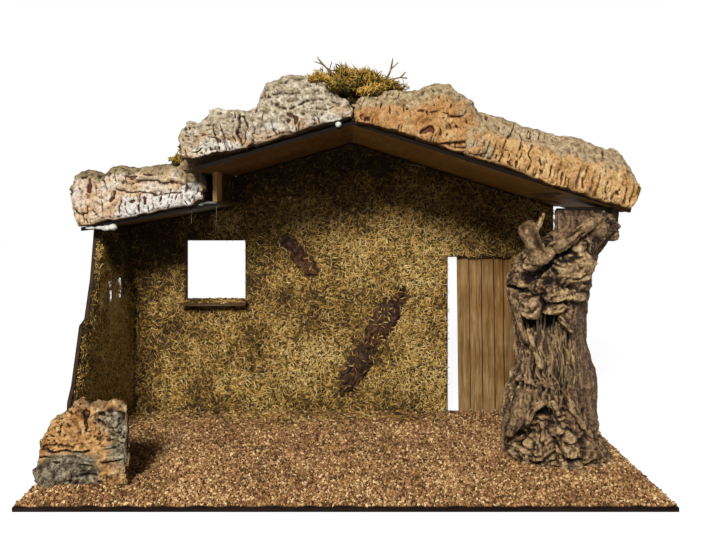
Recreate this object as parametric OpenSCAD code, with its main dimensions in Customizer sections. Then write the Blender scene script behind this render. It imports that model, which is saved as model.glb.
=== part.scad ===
// Nativity stable: a cork and moss hut on a board, with a root for its front post and a plank door
// X runs along the front, Y from the front to the back, and the origin is under the middle of the board

/* [Base] */
// Width of the base board
base_w = 600; // [540:5:680]
// Depth of the base board
base_d = 290; // [270:5:340]
// Thickness of the base board
base_t = 4; // [3:0.5:8]
// Thickness of the layer of cork granules
granule_t = 3; // [2:0.5:5]
// From one crest of the granules to the next
granule_pitch = 33; // [24:1:45]
// How deep the dips between the crests are
granule_wave = 1.2; // [0.4:0.1:1.4]
// Bare rim of the board around the granules
granule_rim = 1.5; // [0.5:0.5:4]

/* [Walls] */
// Thickness of the wall panels
wall_t = 4; // [3:0.5:6]
// From the board's left edge to the left wall
left_inset = 13; // [8:1:25]
// From the board's right edge to the end of the back wall
right_inset = 30; // [24:1:40]
// From the board's back edge to the back wall
back_inset = 6; // [5:0.5:12]
// Thickness of the moss on the walls
moss_t = 4; // [2:0.5:6]
// How far the moss stops short of the roof and of each opening
moss_gap = 1.5; // [0.5:0.5:3]
// How far the left wall reaches forward at its top
left_top_reach = 118; // [100:1:130]
// How far the left wall reaches forward at its foot
left_foot_reach = 200; // [180:1:210]

/* [Back window] */
// From the left wall to the middle of the window
window_x = 112; // [93:1:163]
// Width of the window
window_w = 76; // [50:1:90]
// Height of the window
window_h = 76; // [50:1:85]
// Height of the window's lower edge
window_z = 153.5; // [120:0.5:165]
// Depth of the sill board
sill_d = 25; // [12:1:40]
// Thickness of the sill board
sill_t = 3; // [2:0.5:5]
// How far the sill drops towards its front
sill_drop = 3; // [0:0.5:6]
// How far the sill passes the window on each side
sill_ear = 4; // [1:1:10]

/* [Side window] */
// Side of the square window in the left wall
side_w = 62; // [40:1:70]
// Height of its lower edge
side_z = 123; // [100:1:140]
// From its edge to the back wall
side_gap = 28; // [15:1:34]
// Width of its bars
bar_w = 4; // [2:0.5:8]

/* [Door] */
// From the end of the back wall to the left edge of the door opening
door_x = 138; // [134:1:170]
// Width of the door opening
door_w = 92; // [84:1:96]
// Height of the door opening
door_h = 208; // [170:1:220]
// Width of a door plank
plank_w = 15; // [12:0.1:15.4]
// Width of the fourth plank
narrow_plank_w = 11; // [8:0.1:15]
// Gap between two planks
plank_gap = 1.2; // [0.4:0.1:2]
// Thickness of the planks
plank_t = 3; // [2:0.5:4]
// How far the planks lean to the left, in degrees
plank_lean = 0.7; // [0:0.1:1]
// Gap between the planks and the board under them
door_lift = 2.5; // [2.4:0.1:6]
// Gap over the planks
door_head = 2; // [1:0.5:6]
// Gap between the planks and the right jamb
door_gap = 1.6; // [1:0.1:3]
// Width of the battens on the back of the door
batten_w = 12; // [8:0.5:20]
// Thickness of the battens
batten_t = 4; // [2:0.5:8]
// From the ends of the planks to the battens
batten_end = 20; // [10:1:26]
// How far the battens stop short of the door's edges
batten_short = 3; // [1:0.5:8]

/* [Hinges] */
// Height of a hinge
hinge_h = 16; // [10:0.5:22]
// From the ends of the planks to the middle of a hinge
hinge_end = 48; // [42:1:70]
// Width of a hinge leaf
leaf_w = 9; // [7:0.5:10]
// Thickness of a hinge leaf
leaf_t = 0.6; // [0.4:0.1:1]
// Radius of the hinge knuckles
knuckle_r = 1.6; // [1.4:0.1:2.2]
// Radius of the hinge pins
pin_r = 0.7; // [0.5:0.05:0.9]
// Radial clearance of the pins in the knuckles
pin_fit = 0.05; // [0.02:0.01:0.1]
// Gap between two knuckles, and between a knuckle and what turns past it
knuckle_gap = 0.3; // [0.2:0.05:0.5]
// Radius of the hinge brads
brad_r = 0.45; // [0.3:0.05:0.6]
// How far the brads go into the wood
brad_l = 2.2; // [1.5:0.1:2.6]

/* [Roof] */
// Height of the underside of the boards at the ridge
ridge_h = 357.5; // [350:0.5:375]
// The ridge, from the board's middle
ridge_x = 7; // [-5:1:20]
// Slope of the upper left board, in degrees
left_pitch = 16.2; // [14:0.1:17]
// Slope of the right board, in degrees
right_pitch = 17.5; // [16:0.1:19]
// Slope of the lower left board, in degrees
lower_pitch = 10.7; // [9:0.1:12]
// Height of the underside of the lower left board at its eave
lower_h = 247.3; // [244:0.1:252]
// Thickness of the roof boards
roof_t = 4; // [3:0.5:6]
// From the base board's front edge to the upper roof
roof_front = 82; // [60:1:88]
// From the base board's front edge to the lower roof
lower_front = 140; // [125:1:148]
// How far the roof passes the back wall
roof_lap = 4; // [0:0.5:6]
// How far the lower roof passes the left wall
lower_lap = 6; // [2:0.5:10]
// How far the right board passes the end of the back wall
right_lap = 2; // [0:0.5:6]
// From the left wall's outer face to the inner face of the post in the step of the roof
post_x = 142.5; // [137:0.5:149]
// Width of the post
post_w = 5; // [3:0.5:8]
// Depth of the post
post_d = 28; // [10:1:40]
// From the lower roof's front edge to the post
post_back = 10; // [2:1:20]
// How far the lower roof passes the post
lower_tail = 4; // [2:0.5:5]
// How far the upper left board passes the post
left_lap = 4; // [2:0.5:8]

/* [Bark] */
// Thickness of the slab on the lower left board
lower_bark_t = 52; // [35:1:54]
// Thickness of the lower slab on the upper left board
left_bark_low_t = 45; // [35:1:60]
// Thickness of the upper slab on the upper left board
left_bark_high_t = 60; // [45:1:66]
// Thickness of the upper slab on the right board
right_bark_high_t = 61; // [45:1:66]
// Thickness of the lower slab on the right board
right_bark_low_t = 49; // [35:1:60]
// Length of the upper slab on the upper left board
left_bark_high_l = 106; // [90:1:115]
// Length of the upper slab on the right board
right_bark_high_l = 128; // [110:1:140]
// Depth of the slabs on the upper roof
bark_d = 205; // [180:1:215]
// Depth of the slab on the lower roof
lower_bark_d = 148; // [120:1:155]
// How far the slabs pass the front edge of their boards
bark_lap = 8; // [2:1:14]
// How far the lowest slab on the right passes its board
eave_bark_lap = 15; // [8:1:22]
// Gap between the boards and the slabs, filled by the glue dabs
bark_gap = 2; // [1:0.5:5]
// Gap between two slabs
bark_seam = 3; // [2:0.5:6]
// How ragged the edges of the slabs are
bark_rag = 4; // [0:0.5:8]
// How rough the tops of the slabs are
bark_rough = 2; // [0:0.5:3]
// Radius of a glue dab
dab_r = 9; // [4:0.5:12]
// Leg of the glue fillet at the foot of the back wall
fillet_leg = 4; // [2:0.5:4.5]

/* [Root and corner bark] */
// From the middle of the root's foot to the right eave
root_inset = 53; // [48:1:62]
// From the base board's front edge to the middle of the root's foot
root_y = 120; // [112:1:130]
// Width of the root's foot
root_w = 106; // [85:1:108]
// Depth of the root's foot
root_d = 78; // [60:1:84]
// Gap between the root's flat top and the eave
root_gap = 0.3; // [0.1:0.1:0.8]
// Width of the corner bark
lump_w = 84; // [60:1:90]
// Depth of the corner bark
lump_d = 54; // [40:1:58]
// Height of the corner bark
lump_h = 78; // [50:1:95]
// From the base board's left edge to the corner bark
lump_inset = 7; // [4:1:20]
// How far the corner bark stands in front of the left wall's foot
lump_y = 46; // [42:1:65]

/* [Moss tuft and bark strips] */
// Width of the moss tuft on the ridge
tuft_w = 94; // [50:1:110]
// Depth of the moss tuft
tuft_d = 60; // [30:1:90]
// Height of the moss tuft above the slabs beside it
tuft_h = 24; // [16:1:40]
// Thickness of the bark strips on the back wall
strip_t = 3; // [1.5:0.5:6]
// Length of the small bark strip
small_strip_l = 62; // [40:1:75]
// Width of the small bark strip
small_strip_w = 19; // [10:1:26]
// Slope of the small bark strip, in degrees
small_strip_turn = -53; // [-70:1:-40]
// Middle of the small bark strip, to the left of the ridge
small_strip_x = 69; // [55:1:80]
// Height of the middle of the small bark strip
small_strip_z = 210; // [190:1:230]
// Length of the large bark strip
large_strip_l = 150; // [110:1:160]
// Width of the large bark strip
large_strip_w = 30; // [16:1:40]
// Slope of the large bark strip, in degrees
large_strip_turn = 60; // [45:1:75]
// Middle of the large bark strip, to the right of the ridge
large_strip_x = 28; // [5:1:40]
// Height of the middle of the large bark strip
large_strip_z = 101; // [95:1:140]

/* [Hidden] */
$fn = 48;
front = -base_d / 2;
floor_z = base_t + granule_t;
left_out = -base_w / 2 + left_inset;
left_in = left_out + wall_t;
right_end = base_w / 2 - right_inset;
wall_out = base_d / 2 - back_inset;
wall_in = wall_out - wall_t;
moss_y = wall_in - moss_t;
window_mid = left_in + window_x;
door_left = right_end - door_x;
post_in = left_out + post_x;
foot_y = wall_in - left_foot_reach;
foot_fit = 0.2;

// Heights of the roof's undersides and tops over a place along X
function left_under(x) = ridge_h - (ridge_x - x) * tan(left_pitch);
function right_under(x) = ridge_h - (x - ridge_x) * tan(right_pitch);
function lower_under(x) = lower_h + (x - lower_eave) * tan(lower_pitch);
function left_top(x) = left_under(x) + roof_t / cos(left_pitch);
function right_top(x) = right_under(x) + roof_t / cos(right_pitch);
function lower_top(x) = lower_under(x) + roof_t / cos(lower_pitch);

roof_y = front + roof_front;
roof_end = wall_out + roof_lap;
lower_y = front + lower_front;
lower_eave = left_out - lower_lap;
post_left = post_in - post_w;
post_y = lower_y + post_back;
tail_x = post_in + lower_tail;
left_eave = post_left - left_lap;
right_eave = right_end + right_lap;

// Front edge of the left wall, as shares of its height and of its extra reach at the foot
left_edge = [
    [0, 1], [0.28, 0.9], [0.34, 0.78], [0.46, 0.65], [0.58, 0.52], [0.6, 0.35], [0.77, 0.15], [1, 0]
];
left_wall_h = lower_under(left_in) - base_t;

// The door's leaf, from its lower right corner
door_right = door_left + door_w - door_gap;
leaf_z = base_t + door_lift;
leaf_h = door_h - door_lift - door_head;
plank_ws = [plank_w, plank_w, plank_w, narrow_plank_w, plank_w];
function plank_left(i) = i > 4 ? 0 : plank_left(i + 1) - plank_ws[i] - (i < 4 ? plank_gap : 0);
axis_x = door_left + door_w - door_gap / 2;
axis_y = wall_out + knuckle_r + knuckle_gap;
hinge_zs = [leaf_z + hinge_end, leaf_z + leaf_h - hinge_end];
knuckle_h = (hinge_h - 2 * knuckle_gap) / 3;
leaf_reach = knuckle_r + leaf_w;
brad_x = knuckle_r + leaf_w * 0.55;
brad_rise = hinge_h * 0.3;
brad_head = 0.4;
pin_head = 0.8;

// How far the feet stand straight above the granules, and the tuft above the roof boards
foot_rise = 0.5;
tuft_gap = 0.1;

// Thickness along each slab and across it, as shares of the whole
lower_form = [[0, 0.72], [0.06, 0.88], [0.35, 1], [0.8, 0.94], [0.93, 0.86], [1, 0.62]];
left_low_form = [[0, 0.8], [0.1, 0.95], [0.3, 0.9], [0.5, 1], [0.8, 0.93], [1, 0.9]];
left_high_form = [[0, 0.72], [0.12, 0.9], [0.2, 1], [0.45, 1], [0.62, 0.88], [0.85, 0.6], [1, 0.36]];
right_high_form = [[0, 0.34], [0.12, 0.6], [0.4, 0.76], [0.65, 0.93], [0.8, 1], [0.92, 0.93], [1, 0.85]];
right_low_form = [[0, 0.92], [0.2, 1], [0.75, 1], [0.9, 0.96], [0.96, 0.78], [1, 0.4]];
crown = [[0, 0.94], [0.2, 1], [0.6, 0.94], [0.85, 0.76], [1, 0.5]];

// Rings of the root: height, middle in X and Y and half width and depth, as shares of its own size
root_form = [
    [0, 0.04, 0, 0.5, 0.5],
    [0.08, 0, 0, 0.47, 0.48],
    [0.22, -0.04, 0, 0.45, 0.45],
    [0.35, 0, 0.02, 0.41, 0.42],
    [0.49, -0.02, 0.03, 0.34, 0.36],
    [0.57, -0.05, 0.02, 0.36, 0.38],
    [0.69, -0.06, 0, 0.43, 0.42],
    [0.78, -0.02, 0, 0.41, 0.4],
    [0.84, 0.1, 0, 0.34, 0.37],
    [0.92, 0.3, -0.02, 0.31, 0.34],
    [1, 0.3, -0.02, 0.3, 0.34]
];
// Limbs and burls of the root: both ends as shares of its size, both radii as shares of its width
root_limbs = [
    [[-0.22, -0.2, 0.74], [-0.34, -0.26, 0.93], 0.142, 0.085],
    [[-0.26, -0.3, 0.875], [-0.15, -0.36, 0.975], 0.036, 0.02],
    [[-0.07, -0.42, 0.83], [0.2, -0.45, 0.915], 0.064, 0.054],
    [[0.2, -0.45, 0.915], [0.46, -0.28, 0.94], 0.054, 0.09],
    [[0.46, -0.28, 0.94], [0.53, -0.2, 0.89], 0.09, 0.055],
    [[-0.236, -0.32, 0.8], [-0.094, -0.36, 0.82], 0.123, 0.1],
    [[-0.39, -0.24, 0.76], [-0.4, -0.22, 0.705], 0.095, 0.1],
    [[0.1, -0.34, 0.725], [0.18, -0.34, 0.77], 0.175, 0.16],
    [[-0.047, -0.41, 0.65], [0.145, -0.41, 0.655], 0.078, 0.066],
    [[-0.225, -0.36, 0.615], [-0.245, -0.42, 0.607], 0.104, 0.095],
    [[-0.047, -0.42, 0.597], [0.06, -0.54, 0.535], 0.085, 0.028],
    [[-0.31, -0.45, 0.575], [-0.2, -0.49, 0.37], 0.024, 0.028],
    [[-0.43, -0.32, 0.68], [-0.275, -0.44, 0.455], 0.036, 0.026],
    [[-0.13, -0.38, 0.31], [-0.1, -0.34, 0.52], 0.05, 0.045],
    [[0, -0.38, 0.31], [-0.02, -0.34, 0.52], 0.045, 0.045],
    [[-0.43, -0.28, 0.47], [-0.36, -0.36, 0.34], 0.04, 0.05],
    [[-0.34, -0.38, 0.29], [-0.48, -0.36, 0.12], 0.085, 0.078],
    [[-0.15, -0.42, 0.262], [-0.3, -0.44, 0.18], 0.034, 0.036],
    [[0.1, -0.42, 0.29], [0.3, -0.42, 0.125], 0.032, 0.026],
    [[-0.42, -0.26, 0.065], [-0.226, -0.38, 0.085], 0.11, 0.125],
    [[-0.085, -0.39, 0.165], [0.094, -0.4, 0.1], 0.095, 0.106],
    [[0.094, -0.4, 0.1], [0.275, -0.35, 0.065], 0.106, 0.12]
];
root_x = right_eave - root_inset;
root_top = right_under(right_eave) - root_gap;
root_h = root_top - floor_z;
root_sides = 22;

// Rings of the corner bark: height, lean in X, half width and half depth, as shares of its own size
lump_form = [
    [0, 0, 0.5, 0.5], [0.2, 0, 0.5, 0.5], [0.45, 0.02, 0.47, 0.48],
    [0.75, 0.03, 0.46, 0.44], [0.92, 0.04, 0.42, 0.36], [1, 0.06, 0.28, 0.2]
];
lump_sides = 20;

// Rings of the ridge tuft: height and half width and depth, as shares of its own size
tuft_form = [
    [0, 0.13, 0.34], [0.16, 0.36, 0.4], [0.4, 0.5, 0.5], [0.7, 0.42, 0.44], [0.92, 0.24, 0.3], [1, 0.08, 0.1]
];
tuft_sides = 18;
tuft_stem = 0.4 * bark_seam;

// An outline in X and Z, drawn out along Y
module prism_y(outline, y0, y1) {
    translate([0, y1, 0]) rotate([90, 0, 0]) linear_extrude(y1 - y0) polygon(outline);
}

// An outline in Y and Z, drawn out along X
module prism_x(outline, x0, x1) {
    translate([x0, 0, 0]) rotate([90, 0, 90]) linear_extrude(x1 - x0) polygon(outline);
}

// A box between two corners
module box(low, high) {
    translate(low) cube(high - low);
}

// A solid through a stack of rings, closed at both ends
module loft(rings) {
    n = len(rings[0]);
    last = (len(rings) - 1) * n;
    points = [for (r = rings) each r];
    ends = [mean(rings[0]), mean(rings[len(rings) - 1])];
    sides = [
        for (i = [0:len(rings) - 2], j = [0:n - 1])
            let (a = i * n + j, b = i * n + (j + 1) % n)
            each [[a, b + n, b], [a, a + n, b + n]]
    ];
    low_end = [for (j = [0:n - 1]) [last + n, j, (j + 1) % n]];
    high_end = [for (j = [0:n - 1]) [last + n + 1, last + (j + 1) % n, last + j]];
    polyhedron(concat(points, ends), concat(sides, low_end, high_end));
}
function mean(points) = [for (p = points) 1] * points / len(points);

// A solid between an upper and a lower grid of points, with so many steps along and across
module between_grids(top, under, nu, nv) {
    cols = nv + 1;
    count = len(top);
    function at(i, j) = i * cols + j;
    skin = [
        for (i = [0:nu - 1], j = [0:nv - 1])
            let (a = at(i, j), b = at(i, j + 1), c = at(i + 1, j + 1), e = at(i + 1, j))
            each [[a, b, c], [a, c, e], [count + a, count + c, count + b], [count + a, count + e, count + c]]
    ];
    rim = concat(
        [for (i = [0:nu]) at(i, 0)],
        [for (j = [1:nv]) at(nu, j)],
        [for (i = [nu - 1:-1:0]) at(i, nv)],
        [for (j = [nv - 1:-1:1]) at(0, j)]
    );
    edge = [
        for (k = [0:len(rim) - 1])
            let (a = rim[k], b = rim[(k + 1) % len(rim)])
            each [[a, b, count + b], [a, count + b, count + a]]
    ];
    polyhedron(concat(top, under), concat(skin, edge));
}

// A slab with a flat underside and a rough top, l long in X and d deep in Y
module slab(l, d, t, form, seed) {
    nu = 12;
    nv = 7;
    undercut = bark_rag / 2;
    spots = [for (i = [0:nu], j = [0:nv]) [i / nu, j / nv]];
    function ragged(s) = bark_rag * (0.5 + 0.5 * sin(s * 760 + seed * 60));
    function between(s, low, high) = low + (high - low) * s;
    function place(u, v, in) = [
        between(u, ragged(v) + in, l - ragged(v + 0.5) - in),
        between(v, ragged(u + 0.3) + in, d - ragged(u + 0.8) - in)
    ];
    function bump(u, v) = bark_rough * sin(u * 1500 + seed * 40) * cos(v * 900 + seed * 25);
    function height(u, v) = t * lookup(u, form) * lookup(v, crown) + bump(u, v);
    top = [for (s = spots) concat(place(s.x, s.y, 0), height(s.x, s.y))];
    under = [for (s = spots) concat(place(s.x, s.y, undercut), 0)];
    between_grids(top, under, nu, nv);
}

// Slabs lie along their boards: each place is a slab's lower corner on its board's top
module on_lower() {
    translate([lower_eave, lower_y - bark_lap, lower_top(lower_eave)])
        rotate([0, -lower_pitch, 0]) children();
}
module on_left(along) {
    translate([left_eave, roof_y - bark_lap, left_top(left_eave)])
        rotate([0, -left_pitch, 0]) translate([along, 0, 0]) children();
}
module on_right(along) {
    translate([ridge_x, roof_y - bark_lap, right_top(ridge_x)])
        rotate([0, right_pitch, 0]) translate([along, 0, 0]) children();
}
lower_bark_l = (left_eave - lower_eave - bark_seam) / cos(lower_pitch);
left_run = (ridge_x - left_eave) / cos(left_pitch);
ridge_seam = bark_seam / 2 + roof_t * tan(right_pitch);
left_high_at = left_run - ridge_seam - left_bark_high_l;
left_bark_low_at = -bark_seam;
left_bark_low_l = left_high_at - bark_seam - left_bark_low_at;
right_run = (right_eave - ridge_x) / cos(right_pitch);
right_low_at = ridge_seam + right_bark_high_l + bark_seam;
right_bark_low_l = right_run + eave_bark_lap - right_low_at;

// Glue dabs under one slab, as many as its places
module dabs(l, d) {
    for (spot = [[0.22, 0.25], [0.7, 0.3], [0.45, 0.65]])
        translate([l * spot.x, bark_lap + (d - bark_lap) * spot.y, 0]) cylinder(h = bark_gap, r = dab_r);
}

// Ring of the root at one row of its form, at a height, grown by a clearance
function root_ring(row, z, grow = 0) = [
    for (k = [0:root_sides - 1])
        let (
            a = k * 360 / root_sides,
            lobe = 1 + 0.07 * cos(3 * a + 260 * row[0]) + 0.05 * cos(7 * a - 400 * row[0])
        )
        [
            root_x + root_w * (row[1] + row[3] * lobe * cos(a)) + grow * cos(a),
            front + root_y + root_d * (row[2] + row[4] * lobe * sin(a)) + grow * sin(a),
            z
        ]
];

// Ring of the corner bark, as root_ring
function lump_ring(row, z, grow = 0) = [
    for (k = [0:lump_sides - 1])
        let (
            a = k * 360 / lump_sides,
            square = 1 / pow(pow(abs(cos(a)), 4) + pow(abs(sin(a)), 4), 0.25),
            lobe = min(1, square * (0.87 + 0.06 * cos(5 * a + 300 * row[0]) + 0.05 * cos(3 * a - 500 * row[0])))
        )
        [
            -base_w / 2 + lump_inset + lump_w * (0.5 + row[1] + row[2] * lobe * cos(a)) + grow * cos(a),
            foot_y - lump_y + lump_d * (0.5 + row[3] * lobe * sin(a)) + grow * sin(a),
            z
        ]
];

// The layer of granules between two corners, its top in crests and dips by turns
module crests(low, high) {
    nu = 2 * round((high.x - low.x) / granule_pitch);
    nv = 2 * round((high.y - low.y) / granule_pitch);
    spots = [for (i = [0:nu], j = [0:nv]) [i, j]];
    function place(s) = [low.x + (high.x - low.x) * s.x / nu, low.y + (high.y - low.y) * s.y / nv];
    top = [for (s = spots) concat(place(s), floor_z - granule_wave * ((s.x + s.y) % 2))];
    under = [for (s = spots) concat(place(s), base_t)];
    between_grids(top, under, nu, nv);
}

// A hole through the granules, around a ring of points
module foot_hole(ring) {
    translate([0, 0, base_t - 1]) linear_extrude(granule_t + 2) polygon([for (p = ring) [p.x, p.y]]);
}

// A stump or knot of the root: a limb between two places with a radius at each, as shares of its size
module limb(p, q, rp, rq) {
    hull() {
        translate(root_place(p)) sphere(r = root_w * rp, $fn = 14);
        translate(root_place(q)) sphere(r = root_w * rq, $fn = 14);
    }
}
function root_place(p) = [root_x + root_w * p.x, front + root_y + root_d * p.y, floor_z + root_h * p.z];

// The openings, widened by a margin
module window_cut(grow) {
    half = window_w / 2 + grow;
    low = window_z - (grow > 0 ? sill_t / 2 : 0);
    high = window_z + window_h + grow;
    box([window_mid - half, moss_y - 1, low], [window_mid + half, wall_out + 1, high]);
}
module door_cut(grow) {
    right = door_left + door_w + grow;
    box([door_left - grow, moss_y - 1, base_t - 1], [right, wall_out + 1, base_t + door_h + grow]);
}
module side_cut(grow) {
    y1 = wall_in - side_gap + grow;
    box(
        [left_out - 1, y1 - side_w - 2 * grow, side_z - grow],
        [left_in + moss_t + 1, y1, side_z + side_w + grow]
    );
}
module sill_shape() {
    half = window_w / 2 + sill_ear;
    prism_x(
        [
            [wall_in, window_z], [wall_in, window_z - sill_t],
            [wall_in - sill_d, window_z - sill_drop - sill_t], [wall_in - sill_d, window_z - sill_drop]
        ],
        window_mid - half, window_mid + half
    );
}

// The left wall's outline: its front edge comes from left_edge, held back by a margin
function left_outline(low, high, end, held) = concat(
    [[end, low]],
    [
        for (p = left_edge)
            [
                wall_in - left_top_reach - (left_foot_reach - left_top_reach) * p.y + held,
                p.x == 0 ? low : min(high, base_t + left_wall_h * p.x)
            ]
    ],
    [[end, high]]
);

// Everything above the lower roof's underside
module over_lower_roof(gap) {
    x0 = lower_eave - roof_t;
    x1 = tail_x + roof_t;
    top = ridge_h;
    prism_y(
        [[x0, lower_under(x0) - gap], [x1, lower_under(x1) - gap], [x1, top], [x0, top]],
        front, base_d / 2
    );
}

module base_board() {
    color("#2e2119") box([-base_w / 2, front, 0], [base_w / 2, base_d / 2, base_t]);
}

module floor_granules() {
    edge = base_w / 2 - granule_rim;
    color("#7a5836") difference() {
        crests([-edge, front + granule_rim], [edge, wall_in]);
        box([left_out, foot_y, base_t - 1], [left_in, wall_in + 1, floor_z + 1]);
        foot_hole(root_ring(root_form[0], 0, foot_fit));
        foot_hole(lump_ring(lump_form[0], 0, foot_fit));
    }
}

module back_wall() {
    outline = [
        [left_out, base_t], [right_end, base_t], [right_end, right_under(right_end)],
        [ridge_x, ridge_h], [post_in, left_under(post_in)], [post_in, lower_top(post_in)],
        [tail_x, lower_top(tail_x)], [tail_x, lower_under(tail_x)], [left_out, lower_under(left_out)]
    ];
    color("#5b4630") difference() {
        prism_y(outline, wall_in, wall_out);
        window_cut(0);
        door_cut(0);
        hinge_brads(1) brad_hole();
    }
}

module back_moss() {
    right = right_end - moss_gap;
    step = tail_x + moss_gap;
    outline = [
        [left_in, floor_z], [right, floor_z], [right, right_under(right) - moss_gap],
        [ridge_x, ridge_h - moss_gap], [step, left_under(step) - moss_gap],
        [step, lower_under(tail_x) - moss_gap], [left_in, lower_under(left_in) - moss_gap]
    ];
    color("#6b5527") difference() {
        prism_y(outline, moss_y, wall_in);
        window_cut(moss_gap);
        door_cut(moss_gap);
        sill_shape();
    }
}

module left_wall() {
    high = lower_under(left_in) + 1;
    color("#4a3a2a") difference() {
        prism_x(left_outline(base_t, high, wall_in, 0), left_out, left_in);
        side_cut(0);
        over_lower_roof(0);
    }
}

module left_moss() {
    high = lower_under(left_in + moss_t) + 1;
    color("#6b5527") difference() {
        prism_x(left_outline(floor_z, high, moss_y, 2 * moss_gap), left_in, left_in + moss_t);
        side_cut(moss_gap);
        over_lower_roof(moss_gap);
    }
}

module side_window_bars() {
    y = wall_in - side_gap - side_w / 2;
    z = side_z + side_w / 2;
    half = bar_w / 2;
    color("#4a3a2a") union() {
        box([left_out, y - half, side_z], [left_in, y + half, side_z + side_w]);
        box([left_out, y - side_w / 2, z - half], [left_in, y + side_w / 2, z + half]);
    }
}

module window_sill() {
    color("#8a6c45") sill_shape();
}

// A strip of bark on the back wall: l long, w wide, ragged, turned by an angle
module bark_strip(x, z, l, w, turn) {
    outline = [
        [-0.5, -0.1], [-0.42, -0.5], [-0.1, -0.42], [0.2, -0.5], [0.46, -0.36],
        [0.5, 0.3], [0.3, 0.5], [0, 0.4], [-0.3, 0.5], [-0.46, 0.36]
    ];
    translate([x, moss_y, z]) rotate([90, 0, 0]) rotate([0, 0, turn])
        linear_extrude(strip_t) polygon([for (p = outline) [p.x * l, p.y * w]]);
}

module bark_strip_small() {
    x = ridge_x - small_strip_x;
    color("#3f2b22") bark_strip(x, small_strip_z, small_strip_l, small_strip_w, small_strip_turn);
}

module bark_strip_large() {
    x = ridge_x + large_strip_x;
    color("#3f2b22") bark_strip(x, large_strip_z, large_strip_l, large_strip_w, large_strip_turn);
}

module lower_roof_board() {
    outline = [
        [lower_eave, lower_under(lower_eave)], [tail_x, lower_under(tail_x)],
        [tail_x, lower_top(tail_x)], [lower_eave, lower_top(lower_eave)]
    ];
    color("#a08a66") prism_y(outline, lower_y, roof_end);
}

module left_roof_board() {
    peak = left_top(ridge_x);
    outline = [
        [left_eave, left_under(left_eave)], [ridge_x, ridge_h],
        [ridge_x, peak], [left_eave, left_top(left_eave)]
    ];
    color("#a08a66") prism_y(outline, roof_y, roof_end);
}

module right_roof_board() {
    peak = right_top(ridge_x);
    outline = [
        [ridge_x, ridge_h], [right_eave, right_under(right_eave)],
        [right_eave, right_top(right_eave)], [ridge_x, peak]
    ];
    color("#b9a27c") prism_y(outline, roof_y, roof_end);
}

// The open side of the step between the roofs, filled over a width
module step_fill(left, y0, y1) {
    outline = [
        [left, lower_top(left)], [post_in, lower_top(post_in)],
        [post_in, left_under(post_in)], [left, left_under(left)]
    ];
    prism_y(outline, y0, y1);
}

module step_post() {
    color("#d8be8c") step_fill(post_left, post_y, post_y + post_d);
}

module step_moss() {
    color("#5a4420") step_fill(post_in - moss_t, post_y + post_d, wall_out);
}

module lower_bark() {
    color("#dcc39c") on_lower() translate([0, 0, bark_gap])
        slab(lower_bark_l, lower_bark_d, lower_bark_t, lower_form, 1);
}

module left_bark_low() {
    color("#a5927a") on_left(left_bark_low_at) translate([0, 0, bark_gap])
        slab(left_bark_low_l, bark_d, left_bark_low_t, left_low_form, 2);
}

module left_bark_high() {
    color("#a5927a") on_left(left_high_at) translate([0, 0, bark_gap])
        slab(left_bark_high_l, bark_d, left_bark_high_t, left_high_form, 3);
}

module right_bark_high() {
    color("#b98a58") on_right(ridge_seam) translate([0, 0, bark_gap])
        slab(right_bark_high_l, bark_d, right_bark_high_t, right_high_form, 4);
}

module right_bark_low() {
    color("#c09a66") on_right(right_low_at) translate([0, 0, bark_gap])
        slab(right_bark_low_l, bark_d, right_bark_low_t, right_low_form, 5);
}

module glue_dabs() {
    color("#efe9dc") union() {
        on_lower() dabs(lower_bark_l, lower_bark_d);
        on_left(left_bark_low_at) dabs(left_bark_low_l, bark_d);
        on_left(left_high_at) dabs(left_bark_high_l, bark_d);
        on_right(ridge_seam) dabs(right_bark_high_l, bark_d);
        on_right(right_low_at) dabs(right_bark_low_l - eave_bark_lap, bark_d);
    }
}

module glue_fillets() {
    outline = [[wall_out, base_t], [wall_out + fillet_leg, base_t], [wall_out, base_t + fillet_leg]];
    clear = 2 * leaf_reach;
    color("#efe9dc") union() {
        prism_x(outline, left_out, door_left - clear);
        prism_x(outline, door_left + door_w + clear, right_end);
    }
}

// The tuft stands on a stem that is wedged between the two upper slabs and widens over their shoulders
module ridge_moss() {
    foot = max(left_top(ridge_x), right_top(ridge_x)) + tuft_gap;
    clear = bark_gap + 2 * bark_rough;
    ends = max(left_bark_high_t * left_high_form[6].y, right_bark_high_t * right_high_form[0].y);
    shoulders = max(left_bark_high_t * left_high_form[5].y, right_bark_high_t * right_high_form[1].y);
    middle_y = roof_y + tuft_d;
    function ring(w, d, z, slide) = [
        for (k = [0:tuft_sides - 1])
            let (a = k * 360 / tuft_sides, lobe = 1 + 0.1 * cos(4 * a + z * 20))
            [ridge_x + slide + w * lobe * cos(a), middle_y + d * lobe * sin(a), z]
    ];
    stem = [
        ring(tuft_stem, tuft_d / 3, foot, 0),
        ring(3 * tuft_stem, tuft_d / 3, foot + ends + clear, 0)
    ];
    body = [
        for (row = tuft_form)
            let (z = foot + shoulders + clear + tuft_h * row.x)
            ring(tuft_w * row.y, tuft_d * row.z, z, tuft_w * 0.08 * row.x)
    ];
    color("#8a7a30") loft(concat(stem, body));
}

module root_post() {
    base_rings = [root_ring(root_form[0], base_t), root_ring(root_form[0], floor_z + foot_rise)];
    upper = [for (i = [1:len(root_form) - 1]) root_ring(root_form[i], floor_z + root_h * root_form[i][0])];
    color("#6b5844") union() {
        loft(concat(base_rings, upper));
        for (row = root_limbs) limb(row[0], row[1], row[2], row[3]);
    }
}

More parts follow.
